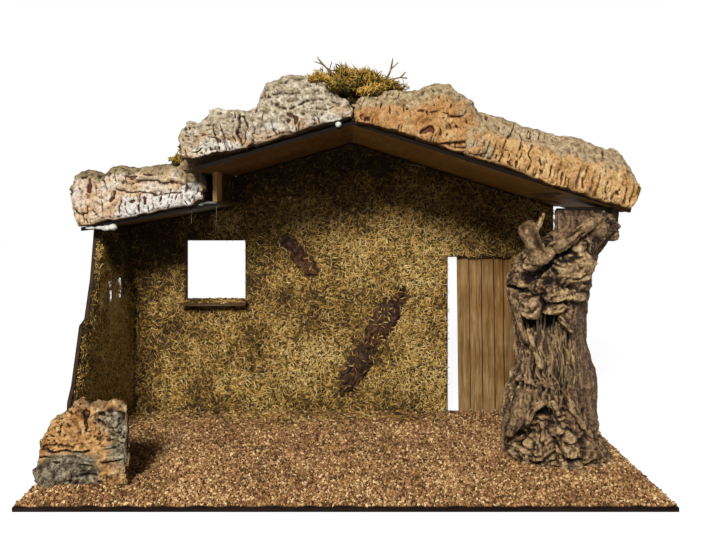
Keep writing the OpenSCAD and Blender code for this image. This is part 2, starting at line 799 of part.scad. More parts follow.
module corner_bark() {
    base_rings = [lump_ring(lump_form[0], base_t), lump_ring(lump_form[0], floor_z + foot_rise)];
    upper = [for (i = [1:len(lump_form) - 1]) lump_ring(lump_form[i], floor_z + lump_h * lump_form[i][0])];
    color("#b5834c") difference() {
        loft(concat(base_rings, upper));
        box(
            [left_out - foot_fit, foot_y - foot_fit, 0],
            [left_in + moss_t + foot_fit, wall_in, floor_z + lump_h + 1]
        );
    }
}

// The brads of one side's leaves, or what is given in their place: side 1 is the wall, -1 the door
module hinge_brads(side) {
    for (z = hinge_zs, rise = [-brad_rise, brad_rise])
        translate([axis_x + side * brad_x, wall_out, z + rise]) rotate([90, 0, 0]) children();
}
module brad_hole() {
    translate([0, 0, -1]) cylinder(h = brad_l + 1, r = brad_r);
}
module brad() {
    translate([0, 0, -leaf_t]) cylinder(h = brad_l + leaf_t, r = brad_r);
    translate([0, 0, -leaf_t - brad_head]) cylinder(h = brad_head, r = 2 * brad_r);
}

// One knuckle of a hinge, the first at the bottom
module knuckle(z, i, r) {
    translate([axis_x, axis_y, z - hinge_h / 2 + i * (knuckle_h + knuckle_gap)]) cylinder(h = knuckle_h, r = r);
}
module room_for_knuckle(z, i) {
    low = z - hinge_h / 2 + i * (knuckle_h + knuckle_gap) - knuckle_gap;
    room = knuckle_r + knuckle_gap;
    box([axis_x - room, wall_out - 1, low], [axis_x + room, axis_y + room, low + knuckle_h + 2 * knuckle_gap]);
}

// The leaves of one side, with their own knuckles: side 1 is the wall, -1 the door
module hinge_leaves(side, own, other) {
    low = min(0, side * leaf_reach);
    difference() {
        for (z = hinge_zs) {
            difference() {
                box(
                    [axis_x + low, wall_out, z - hinge_h / 2],
                    [axis_x + low + leaf_reach, wall_out + leaf_t, z + hinge_h / 2]
                );
                for (i = other)
                    room_for_knuckle(z, i);
            }
            for (i = own) {
                knuckle(z, i, knuckle_r);
                translate([0, 0, z - hinge_h / 2 + i * (knuckle_h + knuckle_gap)])
                    box([axis_x - leaf_t, wall_out, 0], [axis_x + leaf_t, axis_y, knuckle_h]);
            }
        }
        for (z = hinge_zs)
            translate([axis_x, axis_y, z - hinge_h]) cylinder(h = 2 * hinge_h, r = pin_r + pin_fit);
        hinge_brads(side) translate([0, 0, -2 * leaf_t]) cylinder(h = 4 * leaf_t, r = brad_r);
    }
}

module hinge_wall_leaves() {
    color("#b08d4a") hinge_leaves(1, [0, 2], [1]);
}

module hinge_door_leaves() {
    color("#b08d4a") hinge_leaves(-1, [1], [0, 2]);
}

module hinge_pins() {
    color("#b08d4a") for (z = hinge_zs)
        translate([axis_x, axis_y, z - hinge_h / 2]) {
            cylinder(h = hinge_h, r = pin_r);
            translate([0, 0, hinge_h]) cylinder(h = pin_head, r = knuckle_r);
        }
}

module hinge_wall_brads() {
    color("#b08d4a") hinge_brads(1) brad();
}

module hinge_door_brads() {
    color("#b08d4a") hinge_brads(-1) brad();
}

// The door's leaf stands on its lower right corner and leans
module on_leaf() {
    translate([door_right, wall_out, leaf_z]) rotate([0, -plank_lean, 0]) children();
}

module plank(i) {
    color("#a88a5c") difference() {
        on_leaf() box([plank_left(i), -plank_t, 0], [plank_left(i) + plank_ws[i], 0, leaf_h]);
        hinge_brads(-1) brad_hole();
    }
}

module batten(z) {
    color("#8a6c45") on_leaf()
        box([plank_left(0) + batten_short, 0, z], [-leaf_reach - batten_short, batten_t, z + batten_w]);
}

module door_plank_1() {
    plank(0);
}
module door_plank_2() {
    plank(1);
}
module door_plank_3() {
    plank(2);
}
module door_plank_4() {
    plank(3);
}
module door_plank_5() {
    plank(4);
}

module door_batten_low() {
    batten(batten_end);
}

module door_batten_high() {
    batten(leaf_h - batten_end - batten_w);
}

base_board();
floor_granules();
back_wall();
back_moss();
left_wall();
left_moss();
side_window_bars();
window_sill();
bark_strip_small();
bark_strip_large();
lower_roof_board();
left_roof_board();
right_roof_board();
step_post();
step_moss();
lower_bark();
left_bark_low();
left_bark_high();
right_bark_high();
right_bark_low();
glue_dabs();
glue_fillets();
ridge_moss();
root_post();
corner_bark();
hinge_wall_leaves();
hinge_pins();
hinge_wall_brads();
door_plank_1();
door_plank_2();
door_plank_3();
door_plank_4();
door_plank_5();
door_batten_low();
door_batten_high();
hinge_door_leaves();
hinge_door_brads();
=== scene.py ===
# Nativity stable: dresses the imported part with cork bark, dry moss, cork granules and a gnarled root
import math

import bpy
import numpy as np
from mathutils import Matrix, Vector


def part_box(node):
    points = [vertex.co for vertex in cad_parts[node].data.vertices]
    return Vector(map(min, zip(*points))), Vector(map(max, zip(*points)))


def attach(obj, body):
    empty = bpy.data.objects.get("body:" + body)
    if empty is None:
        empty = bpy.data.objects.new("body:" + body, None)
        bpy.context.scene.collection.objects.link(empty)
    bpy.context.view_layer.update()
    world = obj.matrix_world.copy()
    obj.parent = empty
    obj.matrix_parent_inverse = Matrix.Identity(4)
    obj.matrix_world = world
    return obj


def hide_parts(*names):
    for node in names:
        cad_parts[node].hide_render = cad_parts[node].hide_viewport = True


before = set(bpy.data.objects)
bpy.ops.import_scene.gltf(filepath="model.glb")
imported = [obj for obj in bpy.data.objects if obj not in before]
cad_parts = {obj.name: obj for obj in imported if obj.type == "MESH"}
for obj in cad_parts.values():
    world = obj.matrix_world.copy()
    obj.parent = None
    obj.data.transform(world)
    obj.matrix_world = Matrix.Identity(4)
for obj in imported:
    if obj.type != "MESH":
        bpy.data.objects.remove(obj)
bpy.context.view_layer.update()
print("frame loaded,", len(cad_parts), "nodes")

# All shapes are worked out in millimetres, in the part's own frame, and go into meshes in metres
toMetres = 0.001
scene = bpy.context.scene

# Noise and grids

hashing = {"primes": (73856093, 19349663, 83492791, 2654435761), "rounds": ((15, 224682251), (13, 326648991)),
           "last": 16, "mask": 0x7FFFFFFF, "seedStep": 17.31}


# Smooth step: 0 below the low value, 1 above the high one, and between them 3 t squared less 2 t cubed
def smooth(value, low, high):
    part = np.clip((value - low) / (high - low), 0, 1)
    return part * part * (3 - 2 * part)


# Value noise: a random number at each corner of cells of a size, joined by smooth steps, from -1 to 1
def lumps(points, size, seed):
    place = points / np.asarray(size, float) + seed * hashing["seedStep"]
    cell = np.floor(place).astype(np.int64)
    part = place - cell
    part = part * part * (3 - 2 * part)
    total = np.zeros(points.shape[:-1])
    primeX, primeY, primeZ, primeSeed = hashing["primes"]
    for corner in np.ndindex(2, 2, 2):
        key = cell + np.array(corner)
        mixed = key[..., 0] * primeX ^ key[..., 1] * primeY ^ key[..., 2] * primeZ ^ seed * primeSeed
        mixed = mixed & hashing["mask"]
        for shift, factor in hashing["rounds"]:
            mixed = (mixed ^ mixed >> shift) * factor & hashing["mask"]
        share = np.prod(np.where(np.array(corner) == 1, part, 1 - part), axis=-1)
        total += share * ((mixed ^ mixed >> hashing["last"]) / hashing["mask"])
    return 2 * total - 1


# Lumps added up over octaves, each half as large and half as strong as the one before
def rough(points, size, octaves, seed):
    size = np.asarray(size, float)
    return sum(lumps(points, size / 2 ** k, seed + 7 * k) / 2 ** k for k in range(octaves))


# A push of points by up to a reach, with lumps of its own for each axis
def wandering(points, reach, size, seed):
    return reach * together(*[lumps(points, size, seed + axis) for axis in range(3)])


# Distance to the nearest of one jittered point per cell, in cells: small in a pit, large between pits
def pitDistance(points, size, seed):
    place = points / np.asarray(size, float)
    cell = np.floor(place).astype(np.int64)
    nearest = np.full(points.shape[:-1], 9.0)
    for step in np.ndindex(3, 3, 3):
        key = cell + np.array(step) - 1
        spot = [0.5 + 0.5 * lumps(key + 0.01 * (axis + 1), 1.0, seed + axis) for axis in range(3)]
        away = together(*spot) + key - place
        nearest = np.minimum(nearest, np.sqrt((away ** 2).sum(axis=-1)))
    return nearest


# Squared distance from a place in X and Z, measured in its half widths
def ellipse(grid, x, z, wideX, wideZ):
    return ((grid[..., 0] - x) / wideX) ** 2 + ((grid[..., 2] - z) / wideZ) ** 2


# A share around places in X and Z, each with its half widths: bell curves added up
def around(grid, places):
    return sum(np.exp(-ellipse(grid, *place)) for place in places) + np.zeros(grid.shape[:-1])


# A share that is 1 beyond a line in X and Z and fades out before it, with a ragged border
def beyond(grid, fromX, fromZ, towardX, towardZ, fade, seed):
    side = (grid[..., 0] - fromX) * towardX + (grid[..., 2] - fromZ) * towardZ
    return smooth(side + 0.6 * fade * rough(grid, 18, 3, seed), 0, fade)


# Points that lie in a box of two of their axes, widened or narrowed by a margin
def inside(points, one, two, box, margin=0):
    return ((points[:, one] > box[0] - margin) & (points[:, one] < box[1] + margin)
            & (points[:, two] > box[2] - margin) & (points[:, two] < box[3] + margin))


# Second value of a line of pairs at some first values, straight between the pairs
def along(pairs, at):
    return np.interp(at, *np.array(pairs, float).T)


# Vectors brought to a length of 1
def unit(vectors):
    return vectors / (np.linalg.norm(vectors, axis=-1, keepdims=True) + 1e-9)


# Coordinates put together into points
def together(*coordinates):
    return np.stack(coordinates, axis=-1)


# Two coordinates turned by an angle in degrees
def rotated(x, z, degrees):
    cosine, sine = math.cos(math.radians(degrees)), math.sin(math.radians(degrees))
    return x * cosine - z * sine, x * sine + z * cosine


# Two sets of random numbers, each even over its range
def scatter(rng, count, first, second):
    return rng.uniform(*first, count), rng.uniform(*second, count)


# Mean over a square of grid cells that reaches some cells to each side
def blurred(values, reach):
    for axis in (0, 1):
        values = sum(np.roll(values, k, axis) for k in range(-reach, reach + 1)) / (2 * reach + 1)
    return values


# Quads of a grid of rows and columns of points, whose columns may join up into a ring
def gridFaces(rows, columns, ring=False):
    i, j = np.meshgrid(np.arange(rows - 1), np.arange(columns if ring else columns - 1), indexing="ij")
    k = (j + 1) % columns
    near, far = i * columns, (i + 1) * columns
    return together(near + j, near + k, far + k, far + j).reshape(-1, 4)


# A ringed grid closed by one point at each end: points and faces
def closeEnds(grid):
    rows, columns = grid.shape[:2]
    points = np.concatenate([grid.reshape(-1, 3), grid[0].mean(0)[None], grid[-1].mean(0)[None]])
    j = np.arange(columns)
    k = (j + 1) % columns
    last = (rows - 1) * columns
    first = together(np.full(columns, rows * columns), k, j)
    end = together(np.full(columns, rows * columns + 1), last + j, last + k)
    return points, [gridFaces(rows, columns, True), np.concatenate([first, end])]


# Unit normals of a ringed grid, from the steps along and around it, turned away from its middle line
def gridNormals(grid):
    steps = np.gradient(grid, axis=0)
    turns = np.roll(grid, -1, axis=1) - np.roll(grid, 1, axis=1)
    normal = unit(np.cross(turns, steps))
    out = grid - grid.mean(axis=1, keepdims=True)
    return normal if (normal * out).sum() > 0 else -normal


# Turns faces outwards where the volume that they enclose comes out negative
def outward(points, faces):
    volume = 0
    for f in faces:
        for k in range(1, f.shape[1] - 1):
            a, b, c = points[f[:, 0]], points[f[:, k]], points[f[:, k + 1]]
            volume += (a * np.cross(b, c)).sum()
    return faces if volume > 0 else [f[:, ::-1] for f in faces]


# Several shapes joined into one: their points and marks one after the other, their faces counted on
def joined(shapes):
    start, points, faces, cavity = 0, [], [[], []], []
    for p, f, c in shapes:
        points.append(p)
        cavity.append(c)
        for k in range(2):
            faces[k].append(f[k] + start)
        start += len(p)
    return np.concatenate(points), [np.concatenate(f) for f in faces], np.concatenate(cavity)


# A mesh piece from points in millimetres and sets of faces, with marks as its point attributes
def addPiece(name, points, faces, material, stands=(), body="stable", shaded=True, marks=None):
    corners = np.concatenate([f.ravel() for f in faces])
    counts = np.concatenate([np.full(len(f), f.shape[1]) for f in faces])
    mesh = bpy.data.meshes.new(name)
    mesh.vertices.add(len(points))
    mesh.vertices.foreach_set("co", (points * toMetres).astype(np.float32).ravel())
    mesh.loops.add(len(corners))
    mesh.loops.foreach_set("vertex_index", corners.astype(np.int32))
    mesh.polygons.add(len(counts))
    mesh.polygons.foreach_set("loop_start", (np.cumsum(counts) - counts).astype(np.int32))
    mesh.polygons.foreach_set("use_smooth", np.full(len(counts), shaded))
    mesh.update(calc_edges=True)
    mesh.validate()
    for mark, values in (marks or {}).items():
        attribute = mesh.attributes.new(mark, "FLOAT", "POINT")
        attribute.data.foreach_set("value", values.astype(np.float32).ravel())
    mesh.materials.append(material)
    piece = bpy.data.objects.new(name, mesh)
    scene.collection.objects.link(piece)
    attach(piece, body)
    if stands:
        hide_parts(*stands)
    return piece


# One piece from several shapes
def addJoined(name, shapes, material, body="stable"):
    points, faces, _ = joined(shapes)
    addPiece(name, points, faces, material, body=body)


# Gives a sheet a thickness in millimetres behind its face
def thicken(piece, thickness):
    shell = piece.modifiers.new("thickness", "SOLIDIFY")
    shell.thickness = thickness * toMetres
    shell.offset = -1


# Shading

# sRGB hex colour to linear RGBA
def linear(code):
    parts = [int(code[i:i + 2], 16) / 255 for i in (1, 3, 5)]
    return [p / 12.92 if p <= 0.04045 else ((p + 0.055) / 1.055) ** 2.4 for p in parts] + [1]


# Sets a node's sockets: outputs of nodes are linked, hex colours made linear, other values kept
def feed(tree, node, sockets):
    for key, value in sockets.items():
        if isinstance(value, bpy.types.NodeSocket):
            tree.links.new(value, node.inputs[key])
        else:
            node.inputs[key].default_value = linear(value) if isinstance(value, str) else value


# One shader node: settings are its properties, sockets its values or the outputs that feed them
def add(tree, kind, sockets=None, **settings):
    node = tree.nodes.new("ShaderNode" + kind)
    for key, value in settings.items():
        setattr(node, key, value)
    feed(tree, node, sockets or {})
    return node


# Noise whose grains have a size in millimetres
def noise(tree, place, size, detail, roughness=0.5, distortion=0.0):
    sockets = {"Vector": place, "Scale": 1000 / size, "Detail": detail, "Roughness": roughness}
    return add(tree, "TexNoise", {**sockets, "Distortion": distortion}).outputs[0]


# Colours that a value picks, each at its place from 0 to 1
def ramp(tree, value, places, colours):
    node = add(tree, "ValToRGB", {0: value})
    elements = node.color_ramp.elements
    while len(elements) < len(places):
        elements.new(0.5)
    for element, place, code in zip(elements, places, colours):
        element.position = place
        element.color = linear(code)
    return node.outputs[0]


# A share that is 0 below the low value and 1 above the high one
def mask(tree, value, low, high):
    return ramp(tree, value, (low, high), ("#000000", "#ffffff"))


# Two colours mixed by a share, or the second one multiplied in by it
def mix(tree, share, one, two, blend="MIX"):
    return add(tree, "Mix", {0: share, 6: one, 7: two}, data_type="RGBA", blend_type=blend).outputs[2]


# Result of an operation on values
def calc(tree, operation, *values):
    return add(tree, "Math", dict(enumerate(values)), operation=operation).outputs[0]


# Object coordinates stretched or turned
def mapped(tree, place, kind="POINT", **sockets):
    return add(tree, "Mapping", {"Vector": place, **sockets}, vector_type=kind).outputs[0]


# A mark that the mesh carries on its points
def pointMark(tree, name):
    return add(tree, "Attribute", attribute_name=name).outputs["Fac"]


# High where the camera sees a thing, straight, mirrored or through another, and low for the light it sends
def whereSeen(tree, low, high):
    ray = add(tree, "LightPath").outputs
    seen = calc(tree, "MAXIMUM", ray["Is Camera Ray"], ray["Is Glossy Ray"])
    seen = calc(tree, "MAXIMUM", seen, ray["Is Transmission Ray"])
    return add(tree, "MapRange", {"Value": seen, "To Min": low, "To Max": high}).outputs[0]


# A new material with an empty tree, its principled shader and its object coordinates
def newMaterial(name):
    material = bpy.data.materials.new(name)
    material.use_nodes = True
    tree = material.node_tree
    tree.nodes.clear()
    shader = add(tree, "BsdfPrincipled")
    add(tree, "OutputMaterial", {"Surface": shader.outputs[0]})
    return material, tree, shader, add(tree, "TexCoord").outputs["Object"]


# Feeds a shader its colour, roughness, specular level and bumps (height, metres, strength), finest first
def dress(tree, shader, colour, roughness, specular, bumps=()):
    feed(tree, shader, {"Base Color": colour, "Roughness": roughness, "Specular IOR Level": specular})
    normal = {}
    for height, distance, strength in bumps:
        bump = add(tree, "Bump", {"Height": height, "Distance": distance, "Strength": strength, **normal})
        normal = {"Normal": bump.outputs[0]}
    feed(tree, shader, normal)


# Camera: level, at the middle of the front, shifted down as the photograph is framed
view = {"place": (0.004, -0.758, 0.276), "focal": 682, "sensor": 36,
        "axisX": 350, "axisY": 205, "width": 703, "height": 550}
cameraData = bpy.data.cameras.new("camera")
cameraData.sensor_width = view["sensor"]
cameraData.lens = view["focal"] / view["width"] * view["sensor"]
cameraData.shift_x = (view["width"] / 2 - view["axisX"]) / view["width"]
cameraData.shift_y = (view["axisY"] - view["height"] / 2) / view["width"]
camera = bpy.data.objects.new("camera", cameraData)
camera.location = view["place"]
camera.rotation_euler = (math.pi / 2, 0, 0)
scene.collection.objects.link(camera)
scene.camera = camera
scene.view_settings.view_transform = "Standard"

# Light: one large soft lamp from the upper left in front, a weak one from the right, a pale sky all round
light = {"aim": (0, 0, 0.18), "sky": 0.03,
         "lamps": {"keyLamp": {"place": (-0.45, -2.0, 1.35), "power": 76, "size": 0.5},
                   "fillLamp": {"place": (1.1, -1.9, 0.9), "power": 3, "size": 0.8}}}
for lampName, lamp in light["lamps"].items():
    lampData = bpy.data.lights.new(lampName, "AREA")
    lampData.energy = lamp["power"]
    lampData.size = lamp["size"]
    lampObject = bpy.data.objects.new(lampName, lampData)
    lampObject.location = lamp["place"]
    aimX, aimY, aimZ = [a - b for a, b in zip(light["aim"], lamp["place"])]
    tip = math.atan2(aimZ, math.hypot(aimX, aimY))
    lampObject.rotation_euler = (math.pi / 2 + tip, 0, math.atan2(aimY, aimX) - math.pi / 2)
    scene.collection.objects.link(lampObject)

world = bpy.data.worlds.new("paleSky")
scene.world = world
world.use_nodes = True
sky = world.node_tree
sky.nodes.clear()
background = add(sky, "Background", {"Color": (1, 1, 1, 1), "Strength": whereSeen(sky, light["sky"], 1.0)})
add(sky, "OutputWorld", {"Surface": background.outputs[0]})

# Matt grey paper that the camera sees as white: it throws little light back, and the shadow still falls on it
paper = {"half": 6.0, "drop": 0.0004, "colour": "#707070", "roughness": 0.9, "glow": 0.9}
floorMesh = bpy.data.meshes.new("floor")
corners = [(x * paper["half"], y * paper["half"], 0) for x, y in ((-1, -1), (1, -1), (1, 1), (-1, 1))]
floorMesh.from_pydata(corners, [], [(0, 1, 2, 3)])
floor = bpy.data.objects.new("floor", floorMesh)
floor.location.z = -paper["drop"]
scene.collection.objects.link(floor)
material, tree, shader, _ = newMaterial("backdropPaper")
feed(tree, shader, {"Base Color": paper["colour"], "Roughness": paper["roughness"],
                    "Emission Color": (1, 1, 1, 1), "Emission Strength": whereSeen(tree, 0.0, paper["glow"])})
floorMesh.materials.append(material)
print("camera, lamps and floor made")


# Materials

# Raw cork, torn and weathered: matt and crumbly, tan inside with dark lenticels, whitish where it has
# bloomed, grey where the outer bark is, with painted shade in every hollow of the mesh
def corkMaterial(name, look):
    material, tree, shader, place = newMaterial(name)
    grain = noise(tree, place, 13, 10, 0.74)
    patch = noise(tree, place, 7, 10, 0.8)
    crust = noise(tree, place, 8, 10, 0.8)
    speck = noise(tree, place, 2.2, 5, 0.7)
    # lenticels run through the cork from the outer bark inwards, about 2 mm across and 9 mm long
    turned = mapped(tree, place, "TEXTURE", Rotation=(0, look["tilt"], 0), Scale=(1, 1, 4.2))
    fleck = noise(tree, turned, 4.5, 5, 0.7)
    colour = ramp(tree, grain, (0.34, 0.47, 0.58, 0.72), look["inside"])
    bloom = mask(tree, calc(tree, "ADD", patch, pointMark(tree, "bloom")), 0.74, 0.98)
    colour = mix(tree, bloom, colour, look["bloom"])
    colour = mix(tree, mask(tree, fleck, look["fleckFrom"], look["fleckFrom"] + 0.11), colour, look["fleck"])
    outer = mask(tree, calc(tree, "ADD", pointMark(tree, "bark"), crust), 0.62, 1)
    colour = mix(tree, outer, colour, ramp(tree, crust, (0.36, 0.48, 0.62), look["bark"]))
    crumb = ramp(tree, speck, (0.3, 0.41, 0.5), ("#4a4038", "#cfc8bf", "#ffffff"))
    colour = mix(tree, 0.95, colour, crumb, "MULTIPLY")
    # painted shade: darker where the cavity mark is low, in hollows and on undersides
    paintedHollowShade = ramp(tree, pointMark(tree, "cavity"), (0.12, 0.5, 0.8), ("#5b4a40", "#f2f2f2", "#ffffff"))
    colour = mix(tree, 1.0, colour, paintedHollowShade, "MULTIPLY")
    # pit colour: the lenticels' own dark colour, with painted shade where the pit mark follows cracks and rib
    # grooves
    pit = mask(tree, calc(tree, "MULTIPLY_ADD", pointMark(tree, "pit"), 0.5, fleck), 0.82, 1)
    colour = mix(tree, pit, colour, look["pit"])
    dress(tree, shader, colour, 0.93, 0.15, [(speck, 0.0011, 1.0), (grain, 0.003, 0.9)])
    return material


# Dry plant fibre, moss or root hair: matt, two close colours that change every few millimetres
def fibreMaterial(name, low, high, patch=5):
    material, tree, shader, place = newMaterial(name)
    dress(tree, shader, ramp(tree, noise(tree, place, patch, 3), (0.36, 0.64), (low, high)), 0.85, 0.25)
    return material


# Sawn or pressed board: grain streaks along one axis, stains, and a near-black edge in front of a place in Y,
# partly dark paint and partly painted shade of the gap under the cork
def boardMaterial(name, tones, stain, stretch, grain, roughness, edge=None, edgeAt=0):
    material, tree, shader, place = newMaterial(name)
    streak = noise(tree, mapped(tree, place, Scale=stretch), grain, 8, 0.65, 0.6)
    stained = ramp(tree, noise(tree, place, 60, 4), (0.35, 0.65), ("#ffffff", stain))
    colour = mix(tree, 0.8, ramp(tree, streak, (0.3, 0.5, 0.7), tones), stained, "MULTIPLY")
    # painted shade with the paint: the front edge is made near black for the shadowed gap under the cork
    if edge:
        depth = add(tree, "SeparateXYZ", {0: place}).outputs["Y"]
        colour = mix(tree, calc(tree, "LESS_THAN", depth, edgeAt * toMetres), colour, edge)
    dress(tree, shader, colour, roughness, 0.05, [(streak, 0.0004, 0.6)])
    return material


# Old vine root, dry, fibrous: grey-brown, with painted shade nearly black in folds, pale on knobs (partly its
# own tone, partly a painted highlight), reddish where skin is left
def rootMaterial(name, look):
    material, tree, shader, place = newMaterial(name)
    fibre = noise(tree, mapped(tree, place, Scale=(1, 1, 0.2)), 3, 8, 0.75)
    blotch = noise(tree, place, 9, 9, 0.75)
    speck = noise(tree, place, 3, 6, 0.7)
    wood = add(tree, "Mix", {0: 0.5, 2: fibre, 3: blotch}).outputs[0]
    flecked = add(tree, "Mix", {0: 0.45, 2: wood, 3: speck}).outputs[0]
    spread = add(tree, "MapRange", {"Value": flecked, "From Min": 0.36, "From Max": 0.64,
                                    "To Min": 0.22, "To Max": 0.82}).outputs[0]
    toned = calc(tree, "ADD", spread, pointMark(tree, "tone"))
    bare = ramp(tree, toned, (0.3, 0.43, 0.54, 0.68, 0.84), look["bare"])
    colour = mix(tree, pointMark(tree, "skin"), bare, ramp(tree, spread, (0.36, 0.5, 0.64), look["skin"]))
    # painted shade: the cavity mark darkens folds and valleys
    paintedHollowShade = ramp(tree, pointMark(tree, "cavity"), (0.1, 0.42, 0.62), ("#2e241d", "#a89c90", "#ffffff"))
    dress(tree, shader, mix(tree, 1.0, colour, paintedHollowShade, "MULTIPLY"), 0.82, 0.22, [(spread, 0.0022, 1.0)])
    return material


# Hot-melt glue: milky or grey, smooth, clouded
def glueMaterial(name, low, high):
    material, tree, shader, place = newMaterial(name)
    colour = ramp(tree, noise(tree, place, 6, 3), (0.3, 0.7), (low, high))
    feed(tree, shader, {"Base Color": colour, "Roughness": 0.3, "IOR": 1.48})
    return material


# Brass, rolled and lacquered thin: warm metal with faint rolling lines
def brassMaterial(name, low, high):
    material, tree, shader, place = newMaterial(name)
    lines = noise(tree, mapped(tree, place, Scale=(1, 1, 0.05)), 0.8, 4)
    colour = ramp(tree, lines, (0.3, 0.7), (low, high))
    feed(tree, shader, {"Base Color": colour, "Metallic": 1, "Roughness": 0.36})
    return material


corks = {
    "paleCork": {
        "inside": ("#a87c50", "#d8b58c", "#e8d2b0", "#f0e5d2"), "bark": ("#4c3d2b", "#8f7c5b", "#baa680"),
        "fleck": "#6e443a", "fleckFrom": 0.555, "tilt": -0.19, "bloom": "#e6e0d6", "pit": "#54302c"},
    "greyCork": {
        "inside": ("#8f6d47", "#b8966f", "#cdb38d", "#decfb5"), "bark": ("#63553e", "#b4a384", "#e8dfcc"),
        "fleck": "#66493a", "fleckFrom": 0.58, "tilt": -0.28, "bloom": "#e2dbcc", "pit": "#513428"},
    "tanCork": {
        "inside": ("#8f602e", "#be8c56", "#cfa46e", "#dfc191"), "bark": ("#6f5b41", "#ad9670", "#d2bd94"),
        "fleck": "#7a4a2c", "fleckFrom": 0.61, "tilt": 0.3, "bloom": "#e0d2b4", "pit": "#552d26"},
    "ribbedCork": {
        "inside": ("#9a6d3a", "#cd9f65", "#e0b981", "#eed3a4"), "bark": ("#7c6546", "#b49c78", "#d6bf98"),
        "fleck": "#7d4c2c", "fleckFrom": 0.6, "tilt": 0.3, "bloom": "#e0d0b0", "pit": "#633a22"},
    "cornerCork": {
        "inside": ("#6b4320", "#c28f56", "#e0b478", "#f3dbb2"), "bark": ("#1d1914", "#6a5e4a", "#c4b597"),
        "fleck": "#4c2c18", "fleckFrom": 0.53, "tilt": 1.3, "bloom": "#dcc6a4", "pit": "#2b1d14"},
    "stripBark": {
        "inside": ("#33200f", "#5c3e24", "#7f5b36", "#9a754a"), "bark": ("#1c1410", "#402d21", "#634938"),
        "fleck": "#20130b", "fleckFrom": 0.52, "tilt": 0.5, "bloom": "#5c3c29", "pit": "#170e09"}}
cork = {name: corkMaterial(name, look) for name, look in corks.items()}

rootWood = rootMaterial("rootWood", {"bare": ("#251a11", "#574431", "#856a4a", "#ad8f66", "#cfb488"),
                                     "skin": ("#3f2e22", "#6b523e", "#967a5e")})

# Boards: tones, stain, stretch and size of the grain, roughness, and the colour and place of a near-black
# front edge, dark paint with painted shade for the gap under the cork
pressed, longX, longY, longZ = (1, 1, 0.7), (0.06, 1, 1), (1, 0.12, 1), (1, 1, 0.06)
boards = {
    "hardboard": (("#4b3826", "#654c33", "#7a5e41"), "#b9a893", pressed, 5, 0.62),
    "paintedHardboard": (("#2c2119", "#3a2c20", "#4a392a"), "#b9a893", pressed, 5, 0.6),
    "stainedBoard": (("#140e0b", "#1f1612", "#2c201a"), "#c9bfb4", longX, 4, 0.55),
    # the left roof board's tones are darker than the right one's: painted shade on the same plywood
    "leftRoofBoardPaintedShade": (("#5f4526", "#75532c", "#876339"), "#c4b08d", longY, 6, 0.6, "#120a04", -62.6),
    "rightRoofBoard": (("#7f5f36", "#95713f", "#a8834e"), "#d8c6a4", longY, 6, 0.6, "#120a04", -62.6),
    "lowerRoofBoard": (("#574629", "#695533", "#7a6440"), "#c4b08d", longY, 6, 0.6, "#15100c", -4.6),
    "palePine": (("#9c7440", "#b9925c", "#cbaa79"), "#e2d2b8", longZ, 3, 0.6),
    "doorWood": (("#664b29", "#917147", "#b09468"), "#c2ab88", longZ, 2.4, 0.6),
    "battenWood": (("#594226", "#745839", "#8c6e48"), "#cbb697", longX, 3.2, 0.6),
    "sillWood": (("#3e2f1e", "#574430", "#6b5842"), "#bfae94", longX, 3.2, 0.65),
    "paintedGrooveShade": (("#241810", "#33241a", "#443225"), "#bfae94", longZ, 3.2, 0.7)}
board = {name: boardMaterial(name, *look) for name, look in boards.items()}

whiteGlue = glueMaterial("whiteGlue", "#a8a49a", "#d6d2c8")
greyGlue = glueMaterial("greyGlue", "#4e4c47", "#77756e")
brass = brassMaterial("rolledBrass", "#a8823f", "#cfa75c")

nodeFinish = [
    (board["stainedBoard"], ["base_board"]), (board["hardboard"], ["back_wall"]),
    (board["paintedHardboard"], ["left_wall", "side_window_bars"]), (board["sillWood"], ["window_sill"]),
    (board["lowerRoofBoard"], ["lower_roof_board"]), (board["leftRoofBoardPaintedShade"], ["left_roof_board"]),
    (board["rightRoofBoard"], ["right_roof_board"]), (board["palePine"], ["step_post"]),
    (board["doorWood"], [f"door_plank_{k}" for k in range(1, 6)]),
    (board["battenWood"], ["door_batten_low", "door_batten_high"]),
    (brass, ["hinge_wall_leaves", "hinge_pins", "hinge_wall_brads", "hinge_door_leaves", "hinge_door_brads"]),
    (whiteGlue, ["glue_dabs"]), (greyGlue, ["glue_fillets"])]
for finish, nodeNames in nodeFinish:
    for nodeName in nodeNames:
        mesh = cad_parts[nodeName].data
        mesh.materials.clear()
        mesh.materials.append(finish)
print("materials made")


# Bark

slabStart = {
    "front": -71, "depth": 205, "height": 50, "boxy": 0.13, "reach": 36, "behind": 0.12, "columns": 220,
    "rows": 120, "samples": 6000, "closing": (0.06, 0.94, 9),
    "crown": [(0, 0.97), (0.15, 1), (0.6, 0.95), (0.85, 0.8), (1, 0.55)], "drift": 10, "tilt": 0.28,
    "broad": 2.2, "lumps": 1.0, "crumbs": 0.6, "crust": 3.6, "ragged": 1.4, "ribs": (8, 30, 26),
    "ribDepth": 1.8, "specks": (3.6, 6, 7), "speckFrom": 0.62, "pitDepth": 2.4, "pits": [], "dents": [],
    "taper": 0, "ends": 3, "roll": 8, "barkTop": 1, "cracks": 14, "crackLong": (6, 18), "crackDepth": 1.6}


# Section of a slab: a superellipse from -1 to 1 both ways (a from front to back, b from below to the top),
# its points spaced by length, close together within a reach of the front and wide apart behind
def sectionLoop(look):
    turn = np.linspace(0, 2 * np.pi, look["samples"])
    a = -np.sign(np.cos(turn)) * np.abs(np.cos(turn)) ** look["boxy"]
    b = np.sign(np.sin(turn)) * np.abs(np.sin(turn)) ** look["boxy"]
    step = np.hypot(np.diff(a) * look["depth"] / 2, np.diff(b) * look["height"] / 2)
    near = (a[1:] + 1) / 2 * look["depth"] < look["reach"]
    length = np.concatenate([[0], np.cumsum(step * np.where(near, 1, look["behind"]))])
    at = np.linspace(0, length[-1], look["columns"], endpoint=False)
    return np.interp(at, length, a), np.interp(at, length, b)


